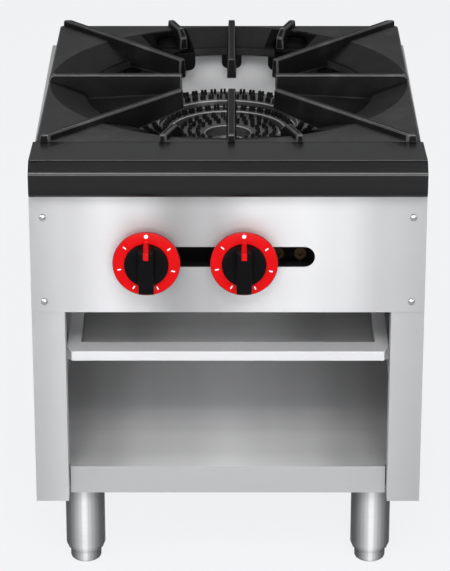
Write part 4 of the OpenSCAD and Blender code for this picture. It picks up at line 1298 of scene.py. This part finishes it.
    def lug(self, at: Matrix) -> bpy.types.Object:
        """One rounded lug below the lip.

        Args:
            at: Turns and moves it into place.

        Returns:
            The lug.
        """
        radius = 8 * MM
        half = self.lug_width / 2
        low = self.lip_low - self.lug_drop
        high = self.lip_low + self.lip / 2
        outline = [(-half, high)]
        outline += arc((-half + radius, low + radius), radius, 180, 270, 5)
        outline += arc((half - radius, low + radius), radius, 270, 360, 5)
        outline += [(half, high)]
        shape = bmesh.new()
        away = Matrix.Translation((0, self.hole_radius + self.cast / 2, 0))
        turn = at @ away @ Matrix.Rotation(math.radians(90), 4, "Z")
        prism(shape, outline, self.cast / 2, turn)
        return softened(coated(solid("lug", shape), RIB_SHADE_IRON), 1.0 * MM, 2, 40.0)

    def corner_ribs(self, home: Matrix) -> list[bpy.types.Object]:
        """The ribs to the plate's corners, each with its lug.

        Args:
            home: Moves the grate's middle into place.

        Returns:
            The ribs and lugs.
        """
        reach = Vector((self.half.x - self.corner_in - self.rib_square,
                        self.half.y - self.rib_square))
        diagonal = self.rib_square * math.sqrt(2)
        crossing = reach.normalized() * (self.hole_radius - diagonal)
        pieces = []
        for sx in (-1, 1):
            for sy in (-1, 1):
                turn = math.atan2(-sx * reach.x, sy * reach.y)
                start = Matrix.Translation((sx * self.rib_square, sy * self.rib_square, 0))
                at = home @ start @ Matrix.Rotation(turn, 4, "Z")
                pieces.append(self.rib(0.0, reach.length + self.over_end,
                                       self.over_hole - diagonal, self.dish_radius - diagonal, at))
                lug_turn = math.atan2(-sx * (self.rib_square + crossing.x),
                                      sy * (self.rib_square + crossing.y))
                pieces.append(self.lug(home @ Matrix.Rotation(lug_turn, 4, "Z")))
        return pieces

    def taper(self, grate: bpy.types.Object) -> None:
        """Draws the casting's sides slightly together towards the rear."""
        for vert in grate.data.vertices:
            share = (vert.co.y - self.centre.y + self.half.y) / (2 * self.half.y)
            width = self.front_width + (self.rear_width - self.front_width) * share
            aside = self.front_aside + (self.rear_aside - self.front_aside) * share
            vert.co.x = self.centre.x + (vert.co.x - self.centre.x) * width + aside

    def build(self) -> None:
        """Builds the grate and dresses it."""
        home = Matrix.Translation(self.centre)
        to_right = Matrix.Translation((self.shift, 0.0, 0.0))
        hole, dish = self.over_hole, self.dish_radius
        pieces = [self.plate()]
        for half_turn in (0, 180):
            turn = Matrix.Rotation(math.radians(half_turn), 4, "Z")
            spin = home @ to_right @ turn
            pieces.append(self.rib(self.rib_square, self.half.y, hole, dish, spin))
            pieces.append(self.lug(spin))
            quarter = home @ turn @ Matrix.Rotation(math.radians(90), 4, "Z")
            pieces.append(self.rib(self.rib_square, self.half.x, hole, dish, quarter, tip=5 * MM))
            pieces.append(self.lug(quarter))
        short_end = self.half.y / math.cos(math.radians(self.short_turn)) + self.over_end
        for spin in self.end_turns(self.short_turn):
            pieces.append(self.rib(self.hole_radius + self.short_in, short_end,
                                   self.hole_radius + self.short_edge, dish, spin, short=True))
            pieces.append(self.lug(spin))
        grate = joined("cast_top_grate", pieces + self.corner_ribs(home))
        self.taper(grate)
        dress(grate, ["top_grate", "grate_skirt", "grate_ribs", "grate_lugs"])


@dataclass
class RingBurner:
    """The two ring castings with their rows of raised ports.

    Attributes:
        repeat: Tree that repeats a port pair by turns.
        outer: Outer radius of the upper tier.
        step: Radius of the step between the tiers.
        inner: Inner radius of the lower tier.
        tier_step: Height of the step.
        tilt: Fall of the upper tier towards the step.
        core_outer: Outer radius of the inner casting.
        core_inner: Radius of its hole.
        depth: Height of the castings below their tiers.
        bevel: Cut of a casting's lower outer edge.
        port_height: Height of the ports.
        slit: Share of a port pair's width that its slit takes.
        arm_width: Width of an arm that holds the inner casting.
        arm_height: Height of an arm.
    """

    repeat: RoundTree
    outer: float = 113 * MM
    step: float = 85 * MM
    inner: float = 71 * MM
    tier_step: float = 9.5 * MM
    tilt: float = 3 * MM
    core_outer: float = 64 * MM
    core_inner: float = 28 * MM
    depth: float = 14 * MM
    bevel: float = 4 * MM
    port_height: float = 6 * MM
    slit: float = 0.12
    arm_width: float = 12 * MM
    arm_height: float = 9 * MM

    def __post_init__(self) -> None:
        """Takes the centre and the levels from the nodes."""
        self.centre = middle("burner_outer")
        self.ring_low = corners("burner_outer")[0].z
        self.low_tier = self.ring_low + self.depth
        self.high_tier = self.low_tier + self.tier_step + self.tilt
        self.core_low = corners("burner_inner")[0].z
        self.core_top = self.core_low + self.depth

    def port_pair(self, radius: float, height: float, wide: float, long: float) -> bpy.types.Object:
        """Two tapered prongs beside a slit, at a radius.

        Args:
            radius: Distance from the burner's axis.
            height: Level of the casting there.
            wide: Width of the pair.
            long: Length of a prong, along the radius.

        Returns:
            The pair, about the origin's axis.
        """
        slit = wide * self.slit
        prong = (wide - slit) / 2
        top_long, top_wide = 0.42, 0.4
        signs = ((-1, -1), (1, -1), (1, 1), (-1, 1))
        shape = bmesh.new()
        for side in (-1, 1):
            y = side * (wide + slit) / 4
            low = [shape.verts.new((radius + a * long / 2, y + b * prong / 2, height - 1 * MM))
                   for a, b in signs]
            tip = height + self.port_height
            top = [shape.verts.new((radius + a * long * top_long, y + b * prong * top_wide, tip))
                   for a, b in signs]
            shape.faces.new(reversed(low))
            shape.faces.new(top)
            for i in range(4):
                j = (i + 1) % 4
                shape.faces.new((low[i], low[j], top[j], top[i]))
        edges = [e for e in shape.edges if max(v.co.z for v in e.verts) > height]
        bmesh.ops.bevel(shape, geom=edges, offset=0.45 * MM, segments=1, affect="EDGES")
        return solid("port_pair", shape)

    def row(
        self, count: int, radius: float, height: float, wide: float, long: float, phase: float = 0.0
    ) -> bpy.types.Object:
        """A full turn of port pairs.

        Args:
            count: Number of pairs.
            radius: Radius of the row.
            height: Level of the casting there.
            wide: Width of a pair.
            long: Length of a pair along the radius.
            phase: Turn of the row, in pairs.

        Returns:
            The row, in place.
        """
        pair = self.port_pair(radius, height, wide, long)
        step = 2 * math.pi / count
        row = self.repeat.grow(
            "port_row", empty_base("port_row"),
            piece=pair, count=count, start=phase * step, step=step, material=SOOTY_PORT.material(),
        )
        row.data.transform(Matrix.Translation((self.centre.x, self.centre.y, 0)))
        discard(pair)
        return row

    def casting(self, name: str, profile: Sequence[Point]) -> bpy.types.Object:
        """A turned casting with rounded edges and its iron."""
        piece = turned(name, profile, 160, (self.centre.x, self.centre.y, 0.0))
        coated(piece, FINISHES["cast_iron_burner"], RING_EDGE_HIGHLIGHT)
        # Painted highlight on the rounded edges.
        return softened(piece, 1.0 * MM, 2, 30.0, 1)

    def outer_ring(self) -> bpy.types.Object:
        """The outer casting: two tiers with three rows of ports."""
        ring = self.casting("outer_ring", [
            (self.inner, self.ring_low), (self.outer - self.bevel, self.ring_low),
            (self.outer, self.ring_low + self.bevel), (self.outer, self.high_tier),
            (self.step, self.high_tier - self.tilt), (self.step, self.low_tier + 1 * MM),
            (self.inner, self.low_tier),
        ])
        rows = [
            self.row(54, radius=self.outer - 7 * MM, height=self.high_tier - 0.8 * MM,
                     wide=7.4 * MM, long=5 * MM),
            self.row(54, radius=self.step + 7 * MM, height=self.high_tier - 2.4 * MM,
                     wide=6.6 * MM, long=5 * MM, phase=0.5),
            self.row(43, radius=(self.step + self.inner) / 2, height=self.low_tier + 0.5 * MM,
                     wide=7.0 * MM, long=5.5 * MM),
        ]
        return joined("outer_burner_ring", [ring, *rows])

    def arms(self) -> bpy.types.Object:
        """The three arms that hold the inner casting in the outer one."""
        start, end = self.core_outer - self.bevel, self.inner - 0.3 * MM
        low = self.core_low + self.bevel
        high = low + self.arm_height
        outline = [(start, low), (end, low), (end, high), (start, high)]
        home = Matrix.Translation(self.centre.xy.to_3d())
        to_y = Matrix.Rotation(math.radians(-90), 4, "Z")
        shape = bmesh.new()
        for turn in (90, 210, 330):
            spin = home @ Matrix.Rotation(math.radians(turn), 4, "Z")
            prism(shape, outline, self.arm_width / 2, spin @ to_y)
        return coated(softened(solid("arms", shape), 0.8 * MM), FINISHES["cast_iron_burner"])

    def core_ring(self) -> bpy.types.Object:
        """The inner casting: a ring on its arms, with three rows of ports."""
        ring = self.casting("core_ring", [
            (self.core_inner, self.core_low), (self.core_outer - self.bevel, self.core_low),
            (self.core_outer, self.core_low + self.bevel),
            (self.core_outer, self.core_top + 1.5 * MM), (self.core_inner, self.core_top),
        ])
        arms = self.arms()
        rows = [
            self.row(30 - 5 * i, radius=self.core_outer - (6 + 10 * i) * MM,
                     height=self.core_top + (1 - 0.4 * i) * MM, wide=(5.4 - 0.3 * i) * MM,
                     long=4.2 * MM, phase=i / 2)
            for i in range(3)
        ]
        return joined("inner_burner_ring", [ring, arms, *rows])

    def build(self) -> None:
        """Builds both castings and dresses them."""
        dress(self.outer_ring(), ["burner_outer", "port_ring_upper", "port_ring_lower"])
        dress(self.core_ring(), ["burner_inner", "port_ring_inner"])


@dataclass
class FrontLedge:
    """The black bull-nose cover: flat top, round nose and an open underside.

    Attributes:
        flat_out: How far the flat top reaches in front of the control panel's face.
        top_radius: Radius of the bend at the flat top's front.
        fall: Slope of the sheet behind the nose, in degrees.
        nose_radius: Radius of the nose's upper bend.
        low_radius: Radius of its lower bend.
        wall: Thickness of the sheet.
        lip: Depth of the lower lip behind the control panel's face.
        lift: Height of the nose's underside above the node's.
        end_in: Distance of its ends inside the node's, at the front.
        narrowing: How much further in its ends lie at its back.
    """

    flat_out: float = 6 * MM
    top_radius: float = 5 * MM
    fall: float = 48.0
    nose_radius: float = 6.5 * MM
    low_radius: float = 11 * MM
    wall: float = 2 * MM
    lip: float = 22 * MM
    lift: float = 2.5 * MM
    end_in: float = 1.1 * MM
    narrowing: float = 1.6 * MM

    def profile(self, inset: float) -> list[Point]:
        """Outline of the ledge in the Y-Z plane, from its upper back corner round the nose.

        Args:
            inset: Distance inside the outer skin.

        Returns:
            The points.
        """
        low, high = corners("front_ledge")
        front, back = low.y + inset, high.y - inset
        bottom, top = low.z + self.lift + inset, high.z - inset
        upper, lower = self.top_radius - inset, self.low_radius - inset
        nose = self.nose_radius - inset
        bend = arc((corners("control_panel")[0].y - self.flat_out, top - upper), upper,
                   90, 90 + self.fall, 6)
        turn = math.radians(90 + self.fall)
        nose_start = front + nose * (1 + math.cos(turn))
        height = bend[-1][1] - (bend[-1][0] - nose_start) * math.tan(math.radians(self.fall))
        points = [(back, top)] + bend
        points += arc((front + nose, height - nose * math.sin(turn)), nose, 90 + self.fall, 180, 8)
        points += arc((front + lower, bottom + lower), lower, 180, 270, 12)
        points.append((back, bottom))
        return points

    def build(self) -> None:
        """Builds the skin, its end plates and its inside, and dresses it."""
        low, high = corners("front_ledge")
        lip_end = corners("control_panel")[0].y + self.lip
        half = (high.x - low.x) / 2 - self.end_in
        outside = self.profile(0.0)
        inside = self.profile(self.wall)
        back = outside[0][0]
        outside[-1] = (lip_end, outside[-1][1])
        inside[-1] = (lip_end, inside[-1][1])
        band = [(back, low.z), *outside, *reversed(inside), (back - self.wall, low.z)]
        shape = bmesh.new()
        prism(shape, band, half - self.wall, Matrix.Identity(4))
        for side in (-1, 1):
            centre = Matrix.Translation((side * (half - self.wall / 2), 0, 0))
            prism(shape, self.profile(0.0), self.wall / 2, centre)
        for vert in shape.verts:
            share = (vert.co.y - low.y) / (high.y - low.y)
            vert.co.x *= 1 - share * self.narrowing / half
        dress(softened(solid("bull_nose_ledge", shape, 30.0), 0.7 * MM, 3, 40.0), ["front_ledge"])


@dataclass
class Knob:
    """A red dial with white marks, a black grip and a red pointer.

    Attributes:
        side: Which of the two knobs it is.
        repeat: Tree that repeats the marks by turns.
        dial_thick: Thickness of the dial's skirt.
        disc_radius: Radius of the black disc.
        disc_thick: Thickness of the black disc.
        cone: Fall of the dial's face outside the disc, as a share of the way out.
        mark_count: Number of marks.
        mark_size: Length, width and thickness of a mark.
        mark_step: Turn from one mark to the next, in degrees.
        mark_radius: Radius on which the marks lie.
        dot_radius: Radius on which the dot lies.
        dot_size: Radius of the dot itself.
        bar_more: How far the bar's lower end reaches below the node's.
        pointer_low: Lower end of the pointer above the axis.
        pointer_width: Width of the pointer.
    """

    side: Side
    repeat: RoundTree
    dial_thick: float = 5 * MM
    disc_radius: float = 25.5 * MM
    disc_thick: float = 5 * MM
    cone: float = 0.11
    mark_count: int = 6
    mark_size: tuple[float, float, float] = (4.4 * MM, 1.5 * MM, 0.5 * MM)
    mark_step: float = 50.9
    mark_radius: float = 31.9 * MM
    dot_radius: float = 34 * MM
    dot_size: float = 2.3 * MM
    bar_more: float = 2.4 * MM
    pointer_low: float = 13 * MM
    pointer_width: float = 6 * MM

    def __post_init__(self) -> None:
        """Takes the axis and the sizes from the nodes."""
        low, high = corners("knob_dial_" + self.side.value)
        self.axis = Vector(((low.x + high.x) / 2, 0.0, (low.z + high.z) / 2))
        self.radius = (high.x - low.x) / 2
        self.face = low.y
        self.back = high.y
        grip = corners("knob_grip_" + self.side.value)[0]
        self.grip_height = self.face - grip.y
        self.grip_low = self.axis.z - grip.z
        self.home = (
            Matrix.Translation((self.axis.x, self.face, self.axis.z))
            @ Matrix.Rotation(math.radians(90), 4, "X")
        )

    def placed(self, piece: bpy.types.Object) -> bpy.types.Object:
        """Moves a piece from the knob's own frame, with +Z out of the dial, into place."""
        piece.data.transform(self.home)
        return piece

    def slope(self, radius: float) -> float:
        """Height of the dial's coned face at a radius, below its middle."""
        return -max(0.0, radius - self.disc_radius) * self.cone

    def dial(self) -> bpy.types.Object:
        """The red skirt and its hub."""
        edge = self.radius
        thick = self.dial_thick
        hub = 15 * MM
        bore = 4.06 * MM
        length = self.back - self.face
        rim = self.slope(edge)
        profile = [(bore, -length), (hub - 1 * MM, -length), (hub, -length + 1 * MM),
                   (hub, -thick), (edge - 2 * MM, -thick)]
        profile += arc((edge - 1.5 * MM, -thick + 1.5 * MM), 1.5 * MM, -90, 0, 4)[1:]
        profile += arc((edge - 1.2 * MM, rim - 1.2 * MM), 1.2 * MM, 0, 84, 4)
        profile += [(self.disc_radius, 0.0), (bore, 0.0)]
        dial = turned("dial_skirt", profile, 128, sharp=50.0)
        coated(dial, FINISHES["red_plastic"], DIAL_RIM_SHADE)
        # Painted shade: the rounded rim takes the darker red.
        for face in dial.data.polygons:
            if face.center.xy.length > edge - 1.2 * MM:
                face.material_index = 1
        return self.placed(dial)

    def marks(self) -> bpy.types.Object:
        """The white dot and the marks, let into the face."""
        tilt = math.atan(self.cone)
        sunk = 0.12 * MM
        bar = bmesh.new()
        bmesh.ops.create_cube(bar, size=1.0)
        bmesh.ops.scale(bar, vec=self.mark_size, verts=bar.verts)
        bmesh.ops.bevel(bar, geom=bar.edges, offset=0.12 * MM, segments=1, affect="EDGES")
        bmesh.ops.rotate(bar, matrix=Matrix.Rotation(tilt, 3, "Y"), verts=bar.verts)
        height = self.slope(self.mark_radius) - sunk
        bmesh.ops.translate(bar, vec=(self.mark_radius, 0, height), verts=bar.verts)
        mark = solid("mark", bar)
        step = math.radians(self.mark_step)
        turns = self.repeat.grow(
            "marks", empty_base("marks"), piece=mark, count=self.mark_count,
            start=math.pi / 2 + step, step=step, material=WHITE_INK.material(),
        )
        discard(mark)
        size = self.dot_size
        dot = turned("dot", [(0.0, -0.3 * MM), (size, -0.3 * MM), (size, 0.05 * MM),
                             (size - 0.25 * MM, 0.12 * MM), (0.0, 0.16 * MM)], 32)
        dot.data.transform(
            Matrix.Translation((0, self.dot_radius, self.slope(self.dot_radius)))
            @ Matrix.Rotation(-tilt, 4, "X")
        )
        coated(dot, WHITE_INK)
        return self.placed(joined("dial_marks_" + self.side.value, [turns, dot]))

    def grip(self) -> bpy.types.Object:
        """The black disc and its bar."""
        radius, thick = self.disc_radius, self.disc_thick
        profile = [(0.0, 0.02 * MM), (radius, 0.02 * MM)]
        profile += arc((radius - 1.5 * MM, thick - 1.5 * MM), 1.5 * MM, 0, 90, 4)
        profile += [(radius * 0.55, thick - 1.0 * MM), (0.0, thick - 1.2 * MM)]
        disc = turned("grip_disc", profile, 96)
        half = 9.5 * MM
        height, low, top = self.grip_height - 0.25 * MM, self.grip_low + self.bar_more, 22 * MM
        tip = radius - 0.8 * MM
        outline = [(-low + 3 * MM, 0.02 * MM), (-low, height - 3 * MM), (-low + 3 * MM, height),
                   (top, height), (tip, thick), (tip, 0.02 * MM)]
        shape = bmesh.new()
        bar = prism(shape, outline, half, Matrix.Identity(4))
        for vert in bar:
            vert.co.x *= 1.0 - 0.1 * vert.co.z / height
        piece = softened(solid("grip_bar", shape), 1.3 * MM, 3, 20.0)
        return self.placed(joined("knob_grip_piece_" + self.side.value, [disc, piece]))

    def pointer(self) -> bpy.types.Object:
        """The red strip down the bar's front and bevel, with a tip on the dial."""
        thick = 1.4 * MM
        proud = 0.25 * MM
        rim = self.disc_radius + 0.06 * MM
        half = self.pointer_width / 2
        height = self.grip_height
        path = [
            (self.pointer_low, height - 0.02 * MM, 0.0, -thick, half),
            (22.2 * MM, height - 0.02 * MM, 0.0, -thick, half),
            (rim + 0.6 * MM, self.disc_thick + 0.3 * MM, proud, -thick, half),
            (rim + thick, 1.6 * MM, 0.0, -thick + 0.1 * MM, half * 0.9),
            (29 * MM, 0.6 * MM, 0.0, -0.5 * MM, half * 0.3),
        ]
        shape = bmesh.new()
        rings = []
        for y, z, out, back, wide in path:
            z_top = min(z + out, height)
            rings.append([
                shape.verts.new((-wide, y, max(z + back, 0.03 * MM))),
                shape.verts.new((wide, y, max(z + back, 0.03 * MM))),
                shape.verts.new((wide, y, z_top)),
                shape.verts.new((-wide, y, z_top)),
            ])
        shape.faces.new(rings[0])
        shape.faces.new(reversed(rings[-1]))
        for near, far in zip(rings, rings[1:]):
            joined_rings(shape, near, far, 4)
        piece = softened(solid("pointer", shape), 0.3 * MM, 2, 50.0)
        piece.name = "knob_pointer_piece_" + self.side.value
        return self.placed(piece)

    def build(self) -> None:
        """Builds the knob and dresses its pieces."""
        name = self.side.value
        dial = self.dial()
        dial.name = "dial_skirt_" + name
        dress(dial, ["knob_dial_" + name])
        dress(self.marks(), [], WHITE_INK, "knob_dial_" + name)
        dress(self.grip(), ["knob_grip_" + name])
        dress(self.pointer(), ["knob_pointer_" + name])


@dataclass
class LegSet:
    """Four leg tubes with drawn-in mouths, and their levelling feet.

    Attributes:
        wall: Wall of a tube.
        shoulder: Height of the shoulder above the tube's mouth.
    """

    wall: float = 1.5 * MM
    shoulder: float = 7 * MM

    def leg(self, node: str, foot: str) -> bpy.types.Object:
        """One tube.

        Args:
            node: The tube's node.
            foot: The foot's node.

        Returns:
            The tube.
        """
        low, high = corners(node)
        centre = middle(node)
        radius = (high.x - low.x) / 2
        mouth = (corners(foot)[1].x - corners(foot)[0].x) / 2 + 0.3 * MM
        turn = low.z + self.shoulder
        profile = [
            (mouth, low.z), (mouth + 0.7 * MM, low.z), (mouth + 1.6 * MM, low.z + 0.3 * MM),
            (mouth + 2.6 * MM, low.z + 1.2 * MM), (radius - 1.6 * MM, turn - 3.2 * MM),
            (radius - 0.5 * MM, turn - 1.6 * MM), (radius, turn), (radius, high.z),
            (radius - self.wall, high.z), (radius - self.wall, turn), (mouth, low.z + 2 * MM),
        ]
        return turned(node + "_tube", profile, 96, (centre.x, centre.y, 0.0), 60.0)

    def foot(self, node: str) -> bpy.types.Object:
        """One levelling foot with its stem."""
        low, high = corners(node)
        centre = middle(node)
        radius = (high.x - low.x) / 2
        stem = 6.35 * MM
        shank = 45 * MM
        profile = [(0.0, 0.0), (radius - 4 * MM, 0.0), (radius - 2.4 * MM, 0.5 * MM),
                   (radius - 1.0 * MM, 1.8 * MM), (radius - 0.25 * MM, 3.4 * MM), (radius, 5 * MM),
                   (radius, shank), (stem, shank), (stem, high.z - 1 * MM),
                   (stem - 1 * MM, high.z), (0.0, high.z)]
        return turned(node + "_turned", profile, 96, (centre.x, centre.y, 0.0))

    def build(self) -> None:
        """Builds and dresses the legs and feet."""
        for end in End:
            for side in Side:
                place = end.value + "_" + side.value
                dress(self.leg("leg_" + place, "foot_" + place), ["leg_" + place])
                dress(self.foot("foot_" + place), ["foot_" + place])


@dataclass
class Screws:
    """Screws and bolts, repeated on their places.

    Attributes:
        repeat: Tree that puts a piece on places.
        shank: Radius of a screw's shank.
        length: Length of the shank.
    """

    repeat: PlaceTree
    shank: float = 2 * MM
    length: float = 9 * MM

    def domed(self, head: float) -> bpy.types.Object:
        """A pan-head screw along -Z with its head above the origin.

        Args:
            head: Radius of the head.

        Returns:
            The screw.
        """
        dome = 0.72 * head
        sweep = (dome * dome + head * head) / (2 * dome)
        start = math.degrees(math.asin(head / sweep))
        profile = [(0.0, -self.length), (self.shank - 0.6 * MM, -self.length),
                   (self.shank, -self.length + 1 * MM), (self.shank, 0.0), (head - 0.3 * MM, 0.0)]
        profile += [(r, h + dome - sweep)
                    for r, h in arc((0, 0), sweep, 90 - start + 2, 90, 8)]
        return turned("screw", profile, 32)

    def set_of(
        self, node: str, head: float, turn: Sequence[float], places: Sequence[Vector]
    ) -> None:
        """Builds one group of screws.

        Args:
            node: The node that holds the group.
            head: Radius of the heads.
            turn: Turn of the screws from +Z, as angles in radians.
            places: Where the heads sit.
        """
        screw = self.domed(head)
        group = self.repeat.grow(
            node + "_set", empty_base(node, places),
            piece=screw, turn=tuple(turn), material=FINISHES["screw_steel"].material(),
        )
        discard(screw)
        dress(group, [node])

    def build(self) -> None:
        """Builds the panel's and the back panel's screws."""
        quarter = math.pi / 2
        face = corners("control_panel")[0].y
        low, high = corners("panel_screws")
        head = 4.5 * MM
        spots = [Vector((x, face, z))
                 for x in (low.x + head, high.x - head) for z in (low.z + head, high.z - head)]
        self.set_of("panel_screws", head, (quarter, 0, 0), spots)
        low, high = corners("back_screws")
        head = 4 * MM
        rear = corners("back_panel")[1].y
        levels = (low.z + head, (low.z + high.z) / 2, high.z - head)
        spots = [Vector((x, rear, z)) for x in (low.x + head, high.x - head) for z in levels]
        self.set_of("back_screws", head, (-quarter, 0, 0), spots)


@dataclass
class SheetWork:
    """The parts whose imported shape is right: rounded copies, or the nodes in their finishes.

    Attributes:
        fold: Rounding of the sheet's edges.
        pipe: Rounding of bars and brackets.
        folded: Nodes of folded sheet.
        cast: Nodes of bars, brackets and plates.
    """

    fold: float = 0.35 * MM
    pipe: float = 0.5 * MM
    folded: tuple[str, ...] = (
        "control_panel", "side_panel_left", "side_panel_right", "side_liner_left",
        "side_liner_right", "back_panel", "rear_liner", "front_heat_shield",
        "grate_rest_rail", "bottom_shelf", "base_channel_left", "base_channel_right",
        "tray_rail_left", "tray_rail_right", "drip_tray", "tray_rim",
    )
    cast: tuple[str, ...] = (
        "burner_bar_front", "burner_bar_rear", "manifold_brackets", "leg_plates",
    )

    def back_steel(self) -> SheetSteel:
        """The back panel's steel: bright outside, with painted shade on its inside face."""
        rear = corners("back_panel")[1].y
        # Painted shade: the back panel's inside face is made near-black.
        shaded_inside = Band("Y", rear - 3 * MM, rear - 1.2 * MM, ((0.0, 0.03), (1.0, 1.0)))
        return SheetSteel("back stainless", (0.8, 0.8, 0.81), 0.48, Grain.UPRIGHT, (shaded_inside,),
                          streak=0.04, cloud=0.04, metal=0.5)

    def build(self) -> None:
        """Dresses every node that no other class dresses."""
        own = {"rear_liner": WALL_STEEL, "front_heat_shield": SHADE_SHEET,
               "back_panel": self.back_steel(), "tray_rim": RIM_STEEL}
        for node in self.folded:
            piece = dress(copied(node, self.fold), [node], own.get(node))
            if node == "bottom_shelf":
                self.mark_flange(piece)
        for node in self.cast:
            dress(copied(node, self.pipe), [node])
        for node, carried in frame["nodes"].items():
            if node not in self.folded + self.cast:
                carried.data.materials.clear()
                coated(carried, FINISHES[SLOT_OF[node]])

    def mark_flange(self, shelf: bpy.types.Object) -> None:
        """Gives the shelf's upright front a darker copy of its steel, as painted shade."""
        front = corners("bottom_shelf")[0].y
        coated(shelf, FLANGE_SHADE_STEEL)
        for face in shelf.data.polygons:
            if face.center.y < front + 2 * MM:
                face.material_index = 1


@dataclass
class Studio:
    """Pale floor, soft light and the camera at the photo's viewing angle.

    Attributes:
        camera_at: Place of the camera.
        pitch: Its angle below the horizon, in degrees.
        yaw: Its turn to the left, in degrees.
        focal: Focal length in pixels of the photo.
        photo_height: Height of the photo in pixels.
        pale: Colour of the floor and backdrop.
        sky: Strength of the sky's light.
        mirrored_floor: Strength of the floor where a surface mirrors it.
        seen_glow: Share of the floor's even glow where the camera sees it.
        mirrored_glow: Share of that glow where a surface mirrors it.
        aim: Where the lamps point.
    """

    camera_at: tuple[float, float, float] = (-0.0016, -3.3598, 1.6527)
    pitch: float = 22.17
    yaw: float = 0.034
    focal: float = 2902.5
    photo_height: float = 571.0
    pale: Colour = (0.898, 0.907, 0.921)
    sky: float = 0.3
    mirrored_floor: float = 0.4
    seen_glow: float = 0.93
    mirrored_glow: float = 0.85
    aim: Vector = field(default_factory=lambda: Vector((0.0, 0.0, 0.35)))

    def camera(self) -> None:
        """Sets the camera, with no shift and no depth of field."""
        data = bpy.data.cameras.new("camera")
        data.sensor_width = 36.0
        data.lens = self.focal * data.sensor_width / self.photo_height
        data.clip_end = 200.0
        camera = linked("camera", data)
        camera.location = self.camera_at
        camera.rotation_euler = (math.radians(90 - self.pitch), 0.0, math.radians(self.yaw))
        bpy.context.scene.camera = camera

    def floor(self) -> None:
        """A wide pale floor, which keeps the stove's shadow."""
        half = 30.0
        mesh = bpy.data.meshes.new("floor")
        mesh.from_pydata([(-half, -half, 0), (half, -half, 0), (half, half, 0), (-half, half, 0)],
                         [], [(0, 1, 2, 3)])
        floor = linked("floor", mesh)
        graph = Graph("pale floor")
        seen = graph.node("ShaderNodeLightPath", output="Is Camera Ray")
        mirrored = graph.node("ShaderNodeLightPath", output="Is Glossy Ray")
        graph.shade(base_color=(*self.pale, 1.0), roughness=0.9, specular_ior_level=0.0)
        strength = mirrored * (self.mirrored_floor - 1.0) + 1.0
        glow = graph.node(
            "ShaderNodeEmission", {}, {"Color": (*self.pale, 1.0), "Strength": strength})
        share = (seen * self.seen_glow).or_more(mirrored * self.mirrored_glow)
        matt = Wire(graph, graph.shader.outputs[0])
        blend = graph.node("ShaderNodeMixShader", {}, {0: share, 1: matt, 2: glow})
        output = graph.tree.nodes["Material Output"]
        graph.tree.links.new(blend.socket, output.inputs["Surface"])
        mesh.materials.append(graph.material)

    def world(self) -> None:
        """An even pale sky."""
        world = bpy.data.worlds.new("studio")
        world.use_nodes = True
        back = world.node_tree.nodes["Background"]
        rays = world.node_tree.nodes.new("ShaderNodeLightPath")
        mix = world.node_tree.nodes.new("ShaderNodeMix")
        mix.data_type = "FLOAT"
        mix.inputs[2].default_value = self.sky
        mix.inputs[3].default_value = 1.0
        world.node_tree.links.new(rays.outputs["Is Camera Ray"], mix.inputs[0])
        world.node_tree.links.new(mix.outputs[0], back.inputs["Strength"])
        back.inputs["Color"].default_value = (*self.pale, 1.0)
        bpy.context.scene.world = world

    def lamp(self, name: str, at: Sequence[float], size: Point, power: float) -> None:
        """Adds a soft lamp that faces the stove.

        Args:
            name: Name of the lamp.
            at: Its place.
            size: Its width and height.
            power: Its power in watts.
        """
        data = bpy.data.lights.new(name, "AREA")
        data.shape = "RECTANGLE"
        data.size, data.size_y = size
        data.energy = power
        lamp = linked(name, data)
        lamp.location = at
        lamp.rotation_euler = (self.aim - Vector(at)).to_track_quat("-Z", "Y").to_euler()

    def build(self) -> None:
        """Builds the whole studio."""
        self.camera()
        self.floor()
        self.world()
        self.lamp("key", (0.0, -2.15, 2.2), (2.0, 0.9), 54.0)
        self.lamp("rear", (0.0, 1.9, 2.5), (2.2, 0.4), 18.0)
        self.lamp("low_front", (0.0, -2.7, 0.85), (1.6, 0.7), 30.0)
        self.lamp("left", (-2.4, -1.0, 1.4), (1.2, 1.4), 18.0)
        self.lamp("right", (2.4, -1.0, 1.4), (1.2, 1.4), 11.0)
        bpy.context.scene.view_settings.view_transform = "Standard"


def main() -> None:
    """Builds the studio and every sub-assembly."""
    logging.basicConfig(level=logging.INFO, format="%(name)s: %(message)s")
    Studio().build()
    by_turns = RoundTree()
    on_places = PlaceTree()
    SheetWork().build()
    FrontLedge().build()
    TopGrate().build()
    RingBurner(by_turns).build()
    for side in Side:
        Knob(side, by_turns).build()
    LegSet().build()
    Screws(on_places).build()


if __name__ == "__main__":
    main()
